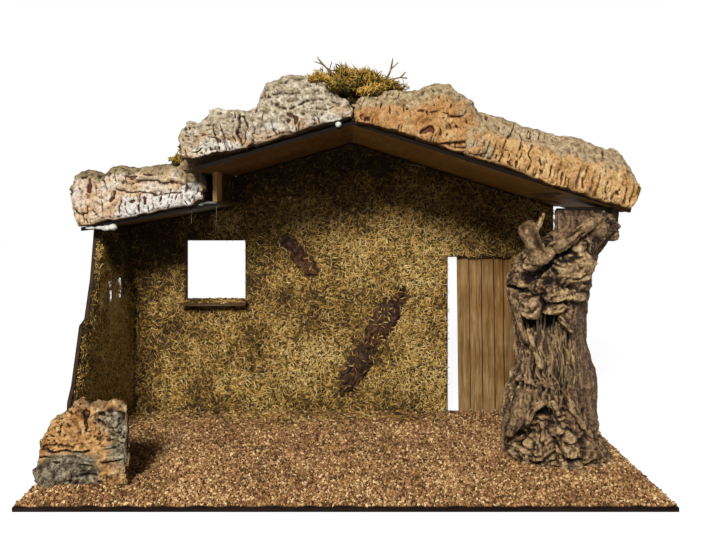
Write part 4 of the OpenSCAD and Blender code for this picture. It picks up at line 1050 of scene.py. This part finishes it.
# Rotation matrices of random turns, from unit quaternions
def randomTurns(rng, count):
    w, x, y, z = unit(rng.normal(size=(count, 4))).T
    rows = [1 - 2 * (y * y + z * z), 2 * (x * y - z * w), 2 * (x * z + y * w),
            2 * (x * y + z * w), 1 - 2 * (x * x + z * z), 2 * (y * z - x * w),
            2 * (x * z - y * w), 2 * (y * z + x * w), 1 - 2 * (x * x + y * y)]
    return together(*rows).reshape(count, 3, 3)


# Grains of cork: octahedra whose corners are moved in and out and aside, then turned
def grainShapes(rng, places, sizes):
    corners = np.array([(1, 0, 0), (-1, 0, 0), (0, 1, 0), (0, -1, 0), (0, 0, 1), (0, 0, -1)], float)
    sides = np.array([(0, 2, 4), (2, 1, 4), (1, 3, 4), (3, 0, 4), (2, 0, 5), (1, 2, 5), (3, 1, 5), (0, 3, 5)])
    count = len(places)
    shape = corners[None] * (sizes[:, None] * rng.uniform(0.75, 1.4, (count, 6)))[..., None]
    shape = shape + rng.normal(size=(count, 6, 3)) * 0.22 * sizes[:, None, None]
    points = (np.einsum("nij,nkj->nki", randomTurns(rng, count), shape) + places[:, None]).reshape(-1, 3)
    faces = (sides[None] + 6 * np.arange(count)[:, None, None]).reshape(-1, 3)
    return points, outward(points, [faces])


# The bed of grains: its waves start at a corner and fill a length, and heaps lie at X and Y with half widths
ground = {"x": (-298.3, 298.3), "y": (-143.3, 130), "bedY": (-143.3, 135), "bed": 5.2, "wave": 0.6,
          "waves": (36, 16), "waveFrom": (298.5, 143.5), "waveLong": (597, 278.5), "cells": (180, 84),
          "sunk": 0.3, "thickness": 0.9, "spacing": 2.15, "extra": 4500, "size": (0.85, 1.7),
          "largeShare": 0.06, "large": 1.35, "seed": 21, "limits": [-0.68, 0.13, 0.88],
          "root": (222, -25, 44, 30),
          "taken": [(-286, -216, -106, -66), (-288.5, -281, -66, 140)],
          "heaps": [(279, -10, 11, 22, 3.5), (-252, -112, 40, 7, 4), (215, -66, 40, 9, 3),
                    (170, -30, 7, 30, 2.5), (-203, -88, 8, 20, 2), (0, 128, 260, 6, 1.5)]}


# Height of the bed: half waves along and across, soft unevenness, and heaps where grains have gathered
def bedHeight(x, y):
    flat = together(x, y, 0 * x)
    waves = [np.cos(np.pi * count * (place + start) / long) for count, place, start, long
             in zip(ground["waves"], (x, y), ground["waveFrom"], ground["waveLong"])]
    height = ground["bed"] + ground["wave"] * (waves[0] * waves[1])
    height = height + 0.3 * lumps(flat, 30, 2) + 0.25 * lumps(flat, 8, 4)
    for heapX, heapY, wideX, wideY, rise in ground["heaps"]:
        height = height + rise * np.exp(-((x - heapX) / wideX) ** 2 - ((y - heapY) / wideY) ** 2)
    return height


grainBed = fibreMaterial("grainBed", "#3a2510", "#6e4b28", 3)
grainTones = fibreTones({"grainDark": ("#452b16", "#624124"), "grainBrown": ("#7a5532", "#956b42"),
                         "grainTan": ("#a0764a", "#bd925f"), "grainPale": ("#cba570", "#e6c794")}, 3)
cellsX, cellsY = ground["cells"]
bedX, bedY = np.meshgrid(np.linspace(*ground["x"], cellsX), np.linspace(*ground["bedY"], cellsY),
                         indexing="ij")
bedPoints = together(bedX, bedY, bedHeight(bedX, bedY) - ground["sunk"]).reshape(-1, 3)
bed = addPiece("granuleBed", bedPoints, [gridFaces(cellsX, cellsY)[:, ::-1]], grainBed,
               ["floor_granules"])
thicken(bed, ground["thickness"])

rng = np.random.default_rng(ground["seed"])
steps = [np.arange(*ground[axis], ground["spacing"]) for axis in ("x", "y")]
gridX, gridY = np.meshgrid(*steps, indexing="ij")
spread = together(gridX.ravel(), gridY.ravel()) + rng.uniform(-1, 1, (gridX.size, 2))
loose = together(*scatter(rng, ground["extra"], ground["x"], ground["y"]))
spots = np.clip(np.concatenate([spread, loose]), *np.array([ground["x"], ground["y"]]).T)
onTop = np.concatenate([np.zeros(len(spread)), np.ones(len(loose))])
rootX, rootY, rootWide, rootDeep = ground["root"]
taken = ((spots[:, 0] - rootX) / rootWide) ** 2 + ((spots[:, 1] - rootY) / rootDeep) ** 2 < 1
for box in ground["taken"]:
    taken |= inside(spots, 0, 1, box)
spots, onTop = spots[~taken], onTop[~taken]
sizes = rng.uniform(*ground["size"], len(spots))
sizes = sizes * np.where(rng.uniform(size=len(spots)) < ground["largeShare"], ground["large"], 1)
places = np.column_stack([spots, bedHeight(spots[:, 0], spots[:, 1]) + sizes * (0.3 + 0.8 * onTop)])
share = np.digitize(rng.normal(size=len(spots)) * 0.8 + 0.35 * rough(places, 50, 2, 6), ground["limits"])
for k, tone in enumerate(grainTones):
    points, faces = grainShapes(rng, places[share == k], sizes[share == k])
    addPiece(f"grains.{k}", points, faces, tone, shaded=False)
print("floor:", len(spots), "grains")


# Root

# A tube along a smooth path: rings across the path, with long ridges and lumps by noise, closed at both ends
def tube(path, radii, sides, steps, roughness, seed):
    path = np.array(path, float)
    t = np.linspace(0, 1, steps)
    line = together(*[np.interp(t, np.linspace(0, 1, len(path)), path[:, k]) for k in range(3)])
    for _ in range(max(2, steps // 8)):
        line[1:-1] = (line[:-2] + 2 * line[1:-1] + line[2:]) / 4
    radius = np.interp(t, np.linspace(0, 1, len(radii)), radii)
    radius = radius * np.sqrt(np.clip(1 - (2 * t - 1) ** 14, 0.02, 1))
    forward = unit(np.gradient(line, axis=0))
    helper = np.where(np.abs(forward[:, 1:2]) < 0.85, np.array([[0.0, 1, 0]]), np.array([[1.0, 0, 0]]))
    side = unit(np.cross(forward, helper))
    lift = np.cross(side, forward)
    angle = np.arange(sides) * 2 * np.pi / sides
    ring = side[:, None] * np.cos(angle)[None, :, None] + lift[:, None] * np.sin(angle)[None, :, None]
    widest = float(np.max(radii))
    travel = np.linalg.norm(path[-1] - path[0]) * t[:, None] / 5 + 0 * angle
    skin = together(widest * np.cos(angle) + 0 * travel, widest * np.sin(angle) + 0 * travel, travel)
    grid = line[:, None] + ring * radius[:, None, None]
    bump = 0.5 - np.abs(rough(skin, max(0.6 * widest, 1.2), 2, seed))
    bump = bump + 0.8 * rough(grid, max(1.5 * widest, 3), 3, seed + 1)
    bump = bump + 0.6 * np.abs(rough(grid, 4, 2, seed + 2)) - 0.2
    grid = grid + ring * (roughness * bump * np.minimum(1, radius / widest)[:, None])[..., None]
    points, faces = closeEnds(grid)
    # cavity mark: painted shade, lower in the grooves between the ridges
    cavity = np.concatenate([np.clip(0.55 + 0.5 * bump.ravel(), 0, 1), [0.5, 0.5]])
    return points, outward(points, faces), cavity


# The trunk: at each height rays go out from a middle to an ellipse with flutes (share, count, twist,
# start). Burls (X, Z, half widths, push, tone) push the surface out in domes and valleys (two ends in X and
# Z, half width, depth) sink it; creased noise at three sizes covers the knobby parts, long fibres the
# middle, fine streaks the right side.
trunk = {
    "rows": 320, "frontRays": 230, "backRays": 60, "backTurn": 0.35,
    "flutes": [(0.05, 4, 0.018, 1), (0.035, 9, -0.024, 0)],
    "z": (3, 20, 36, 58, 79, 100, 132, 153, 177, 190, 201, 222, 236, 250, 272.5),
    "middle": (229, 224, 221, 220, 223, 224, 221.5, 219, 218, 218, 221, 228, 243, 257, 258),
    "half": (56, 49, 47, 47, 45.5, 41, 36, 38, 41, 43, 42, 40, 35, 31, 30.5),
    "depth": (36, 34, 32, 31, 30, 28, 26, 27, 29, 30, 30, 28, 27, 25, 24),
    "middleY": (-25, -25, -25, -25, -24, -23, -22, -22, -24, -25, -25, -25, -26, -26, -26),
    "burls": [(234, 211, 21, 19, 13, 0.16), (201, 222, 16, 14, 10, 0.05), (213, 226, 8, 8, 12, 0.16),
              (197, 214, 11, 9, 11, 0.1), (176, 211, 9, 10, 8, 0.06), (177, 197, 10, 9, 8, -0.06),
              (223, 183, 20, 9, 10, 0.1), (237, 180, 7, 7, 12, 0.12), (196, 170, 12, 11, 12, 0.06),
              (215, 166, 11, 10, 11, 0.1), (206, 190, 14, 8, 7, 0.0), (246, 194, 9, 12, 6, 0.02),
              (197, 23, 15, 14, 9, 0.08), (216, 45, 9, 8, 9, 0.12), (229, 38, 7, 6, 11, 0.2),
              (229, 27, 9, 8, 10, 0.1), (206, 37, 8, 9, 7, 0.06), (248, 23, 14, 14, 9, 0.08),
              (231, 9, 10, 9, 8, -0.06), (175, 20, 12, 12, 8, -0.04), (180, 62, 12, 26, 8, 0.04),
              (212, 12, 10, 9, 7, 0.0), (259, 94, 12, 14, 4, 0.0), (179, 92, 16, 6, 6, 0.02),
              (268, 256, 14, 14, 9, -0.04)],
    "valleys": [(190, 199, 231, 226, 5, 9), (166, 187, 190, 190, 3, 6), (192, 153, 219, 153, 7, 15),
                (183, 116, 184, 133, 6, 8), (194, 62, 207, 63, 5, 9), (231, 95, 229, 140, 5, 3),
                (200, 84, 222, 82, 3, 5), (205, 180, 210, 196, 3, 5), (200, 236, 214, 242, 5, 8),
                (217, 206, 213, 218, 2.5, 5), (188, 90, 196, 84, 3, 6), (240, 50, 243, 62, 3, 4),
                (206, 158, 207, 178, 2.5, 6), (184, 40, 188, 26, 3, 5), (238, 12, 240, 34, 2.5, 4)]}
zs = np.linspace(trunk["z"][0], trunk["z"][-1], trunk["rows"])[:, None]
turn = trunk["backTurn"]
angle = np.concatenate([np.linspace(-np.pi - turn, turn, trunk["frontRays"], endpoint=False),
                        np.linspace(turn, np.pi - turn, trunk["backRays"], endpoint=False)])
rayX, rayY = np.cos(angle), np.sin(angle)


# What the trunk's rows say at some heights, straight between the rows
def trunkAt(z):
    return [np.interp(z, trunk["z"], trunk[key]) for key in ("middle", "middleY", "half", "depth")]


# Points of the trunk at a radius along each ray
def trunkGrid(radius):
    return together(middle + radius * rayX, middleY + radius * rayY, zs + 0 * angle)


middle, middleY, half, deep = trunkAt(zs)
flutes = [share * np.cos(count * angle + twist * zs + start) for share, count, twist,
          start in trunk["flutes"]]
radius = (1 + sum(flutes)) / np.sqrt((rayX / half) ** 2 + (rayY / deep) ** 2)
grid = trunkGrid(radius)
front = smooth(-rayY, -0.1, 0.4) + 0 * zs
bent = grid + wandering(grid, 4.5, 13, 81)
domes, tone, sunk = 0 * radius, 0 * radius, 0 * radius
for x, z, wideX, wideZ, push, bright in trunk["burls"]:
    dome = front * smooth(1.2 - np.sqrt(ellipse(bent, x, z, wideX, wideZ)), 0, 0.7)
    tone = np.where(push * dome > domes, bright * dome, tone)
    domes = np.maximum(domes, push * dome)
for x0, z0, x1, z1, wide, push in trunk["valleys"]:
    stepX, stepZ, fromX, fromZ = x1 - x0, z1 - z0, bent[..., 0] - x0, bent[..., 2] - z0
    t = np.clip((fromX * stepX + fromZ * stepZ) / (stepX ** 2 + stepZ ** 2), 0, 1)
    away = np.hypot(fromX - t * stepX, fromZ - t * stepZ)
    sunk = np.maximum(sunk, front * push * smooth(1.3 - away / wide, 0, 0.9))

# The root is whole on the right side of its middle and in a block at the top, and knobby or torn elsewhere
whole = smooth(rayX + 0.3 * lumps(grid, 30, 4), 0.3, 0.75) * smooth(zs, 20, 70)
whole = whole * (1 - smooth(zs, 150, 240) * smooth(domes, 1, 4))
topBlock = smooth(zs, 232, 243) * smooth(grid[..., 0], 208, 216) * (1 - smooth(grid[..., 0], 256, 264))
whole = np.maximum(whole, 0.8 * topBlock)
knobby = np.maximum(smooth(zs, 142, 160), 1 - smooth(zs, 52, 76)) * front * (1 - whole)
torn = 1 - 0.85 * whole
creased = np.abs(rough(bent, (12, 12, 11), 2, 93)) ** 0.8
crumbs = np.abs(lumps(bent + wandering(grid, 2, 5, 84), 6.5, 95))
grit = np.abs(lumps(grid, 2.6, 96))
leaning = bent.copy()
leaning[..., 0] += 0.12 * (zs - 100)
fibres = 0.5 - np.abs(rough(leaning, (7, 7, 60), 2, 92))
hairs = 0.4 - np.abs(lumps(leaning, (3, 3, 34), 97))
rise = knobby * (4.4 * creased + 5.4 * crumbs + 2.8 * grit - 4)
rise = rise + torn * (1 - knobby) * (8 * fibres + 4.4 * hairs + 1.2 * grit)
rise = rise + whole * (1.6 * rough(grid, (8, 8, 60), 3, 94) + 1.4 * hairs) + domes * (1 - 0.5 * whole) - sunk
radius = radius + rise * smooth(zs[-1, 0] - zs, 0, 3)
# cavity mark: painted shade, darker in folds and in the sunk valleys
cavity = 0.56 + 0.17 * (radius - blurred(radius, 3)) + 0.04 * (radius - blurred(radius, 9)) - 0.04 * sunk
# tone follows the relief on knobby and fibrous parts: partly random tone, partly painted highlight on raised
# knobs and fibre ridges
tone = tone + knobby * (0.2 * creased + 0.28 * crumbs + 0.22 * grit - 0.24)
tone = tone + (1 - knobby) * (0.3 * fibres + 0.28 * hairs - 0.12)
marks = {"cavity": np.clip(cavity, 0, 1), "skin": 0.85 * whole, "tone": tone}
marks = {key: np.concatenate([v.ravel(), [0.5, 0.5]]) for key, v in marks.items()}
points, faces = closeEnds(trunkGrid(radius))
addPiece("rootTrunk", points, outward(points, faces), rootWood, ["root_post"], marks=marks)

# Limbs, sticks and side roots: path, radii, roughness and tone of each
limbs = [
    ([(203, -50, 216), (197, -53, 230), (192, -54, 243), (184, -52, 258)], (13, 10, 8.5, 10), 4.5, 0.04),
    ([(195, -55, 250), (199, -57, 258), (204, -56, 268)], (3.4, 2.8, 1.8), 0.6, 0.14),
    ([(214, -58, 228), (226, -62, 239), (242, -60, 251), (258, -52, 261)], (5, 5.5, 5, 5.5), 1.6, 0.04),
    ([(258, -50, 262), (268, -46, 258), (279, -42, 247), (280, -42, 238)], (7, 9, 7, 5.5), 3, 0.0),
    ([(186, -60, 150), (190, -64, 134), (195, -64, 120), (199, -61, 108)], (2.4, 2.2, 2.4, 3.2), 0.6, 0.16),
    ([(173, -50, 188), (175, -54, 170), (180, -57, 150), (186, -58, 134)], (3.6, 3.2, 2.8, 2), 0.8, 0.04),
    ([(217, -64, 163), (223, -69, 156), (228, -69, 148)], (4.2, 3.8, 3), 0.6, 0.14),
    ([(183, -54, 86), (178, -56, 68), (172, -54, 50), (167, -51, 36)], (8.5, 9, 8.5, 6), 2.6, 0.0),
    ([(205, -62, 76), (195, -65, 72), (187, -65, 64), (184, -62, 50)], (2.6, 3.2, 3.2, 2.4), 0.7, 0.12),
    ([(222, -57, 88), (232, -61, 68), (244, -60, 50), (254, -56, 36)], (3, 3.8, 3.4, 2), 0.9, 0.08),
    ([(210, -60, 76), (214, -63, 69), (217, -62, 61)], (2.4, 2.4, 1.8), 0.6, 0.12)]
shapes = [tube(path, radii, sides=22, steps=56, roughness=bump, seed=140 + k)
          for k, (path, radii, bump, _) in enumerate(limbs)]
points, faces, cavity = joined(shapes)
tones = np.concatenate([np.full(len(shape[0]), limb[3]) for shape, limb in zip(shapes, limbs)])
marks = {"cavity": cavity, "skin": 0 * cavity, "tone": tones}
addPiece("rootLimbs", points, faces, rootWood, marks=marks)

# Fibres that have come loose from the trunk's front: thin tubes along its surface with a drift of their own
fibre = {"count": 80, "seed": 17, "radius": (0.4, 1.2), "length": (18, 50), "z": (62, 128),
         "turn": (-2.5, -1.35), "off": (-0.5, 2.5), "arch": 1.2, "drift": 0.1, "driftSpread": 0.06,
         "sway": 0.03, "points": 6, "sides": 6, "steps": 16, "roughness": 0.2}
rng = np.random.default_rng(fibre["seed"])
fibreSets = [[], []]
t = np.linspace(0, 1, fibre["points"])
for k in range(fibre["count"]):
    pathZ = rng.uniform(*fibre["z"]) + rng.uniform(*fibre["length"]) * t
    turn = rng.uniform(*fibre["turn"]) + (fibre["drift"] + rng.normal() * fibre["driftSpread"]) * t
    turn = turn + fibre["sway"] * np.sin(t * rng.uniform(2, 5) + rng.uniform(0, 6))
    off = rng.uniform(*fibre["off"]) + fibre["arch"] * np.sin(np.pi * t) * rng.uniform(0, 1)
    coreX, coreY, coreWide, coreDeep = trunkAt(pathZ)
    pathX, pathY = coreX + (coreWide + off) * np.cos(turn), coreY + (coreDeep + off) * np.sin(turn)
    thick = rng.uniform(*fibre["radius"])
    path, radii = together(pathX, pathY, pathZ), (0.7 * thick, thick, 0.5 * thick)
    fibreSets[k % 2].append(tube(path, radii, fibre["sides"], fibre["steps"], fibre["roughness"], 300 + k))
fibreFinish = fibreTones({"fibrePale": ("#5c4a33", "#8d7550"), "fibreDark": ("#35291f", "#594833")}, 8)
for setName, shapes, finish in zip(("rootFibresPale", "rootFibresDark"), fibreSets, fibreFinish):
    addJoined(setName, shapes, finish)
print("root made")


# Glue, twigs and the door's grooves

blobForm = {"rings": 18, "sides": 24, "pole": 0.03, "lumps": 0.24, "nodules": 0.04, "grain": 0.06}


# A blob: a ball stretched along three axes, its radius swollen by lumps, nodules and fine grain
def blob(at, size, seed):
    down = np.linspace(blobForm["pole"], np.pi - blobForm["pole"], blobForm["rings"])[:, None]
    angle = np.arange(blobForm["sides"]) * 2 * np.pi / blobForm["sides"]
    ball = together(np.sin(down) * np.cos(angle), np.sin(down) * np.sin(angle), np.cos(down) + 0 * angle)
    knobs = blobForm["lumps"] * lumps(ball + seed, 0.75, seed) + blobForm["grain"] * lumps(ball, 0.16, seed)
    knobs = knobs + blobForm["nodules"] * (0.9 - 2 * pitDistance(ball + seed, 0.55, seed))
    points, faces = closeEnds(np.array(at, float) + ball * np.array(size, float) * (1 + knobs)[..., None])
    return points, outward(points, faces), np.zeros(len(points))


# Blobs of glue, each a place and half sizes, and thin threads of it that hang from the lower board
drops = {
    "whiteDrops": {"finish": whiteGlue, "threads": [],
                   "blobs": [((-281, -8, 250.6), (5, 3, 1.4)), ((-271, -9, 251), (6, 3.4, 1.9)),
                             ((-263, -10, 250.6), (6, 4, 3.2)), ((-256, -10, 251.6), (4.5, 4, 3.6)),
                             ((-8, -66.5, 358), (2.8, 2.4, 3.2))]},
    "greyDrops": {"finish": greyGlue,
                  "threads": [[(-171, -3, 275), (-171, -4, 266), (-171.4, -4, 255)],
                              [(-144, -3, 277), (-143.4, -4, 264), (-144.2, -4, 251)]],
                  "blobs": [((-152, -1.5, 278.2), (10, 5, 1.8)), ((-161, -2, 276.4), (5, 4, 1.8))]}}
for dropName, drop in drops.items():
    shapes = [blob(at, size, 400 + k) for k, (at, size) in enumerate(drop["blobs"])]
    shapes += [tube(path, (0.22, 0.12, 0.26), sides=8, steps=20, roughness=0.03, seed=420 + k)
               for k, path in enumerate(drop["threads"])]
    addJoined(dropName, shapes, drop["finish"])

# Bare twigs that stick out of the ridge tuft: path and radii of each
twigs = [([(-10, -30, 409), (-18, -34, 419), (-25, -36, 425), (-31, -36, 433)], (1.2, 1.1, 0.9, 0.6)),
         ([(-25, -36, 425), (-34, -36, 428)], (0.8, 0.5)),
         ([(-18, -34, 419), (-15, -36, 428)], (0.8, 0.5)),
         ([(40, -20, 408), (47, -24, 418), (49, -26, 427), (50, -26, 434)], (1.2, 1.0, 0.8, 0.5)),
         ([(48, -26, 422), (56, -26, 429)], (0.8, 0.5)),
         ([(46, -24, 410), (58, -26, 413), (66, -26, 412)], (1.0, 0.8, 0.6)),
         ([(58, -26, 413), (64, -26, 419)], (0.7, 0.5))]
shapes = [tube(path, radii, sides=7, steps=18, roughness=0.4, seed=440 + k)
          for k, (path, radii) in enumerate(twigs)]
addJoined("tuftTwigs", shapes, fibreMaterial("twigBark", "#5e4a22", "#8a6d34", 4))

# Tongues in the door's grooves: thin beads behind the gaps between the planks, dark-coloured as painted shade
# in the gaps
tongue = {"radius": 1.1, "inset": 0.6, "short": 1}
planks = [[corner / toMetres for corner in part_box(f"door_plank_{k}")] for k in range(1, 6)]
planks.sort(key=lambda plank: plank[0].x)
shapes = []
for k, ((low, high), (nextLow, _)) in enumerate(zip(planks, planks[1:])):
    y = high.y - tongue["radius"]
    foot = np.array([high.x + tongue["inset"], y, low.z + tongue["short"]])
    head = np.array([nextLow.x - tongue["inset"], y, high.z - tongue["short"]])
    path, radii = [foot, (foot + head) / 2, head], [tongue["radius"]] * 3
    shapes.append(tube(path, radii, sides=8, steps=24, roughness=0.05, seed=460 + k))
addJoined("doorTongues", shapes, board["paintedGrooveShade"], body="door")
print("glue, twigs and grooves made")
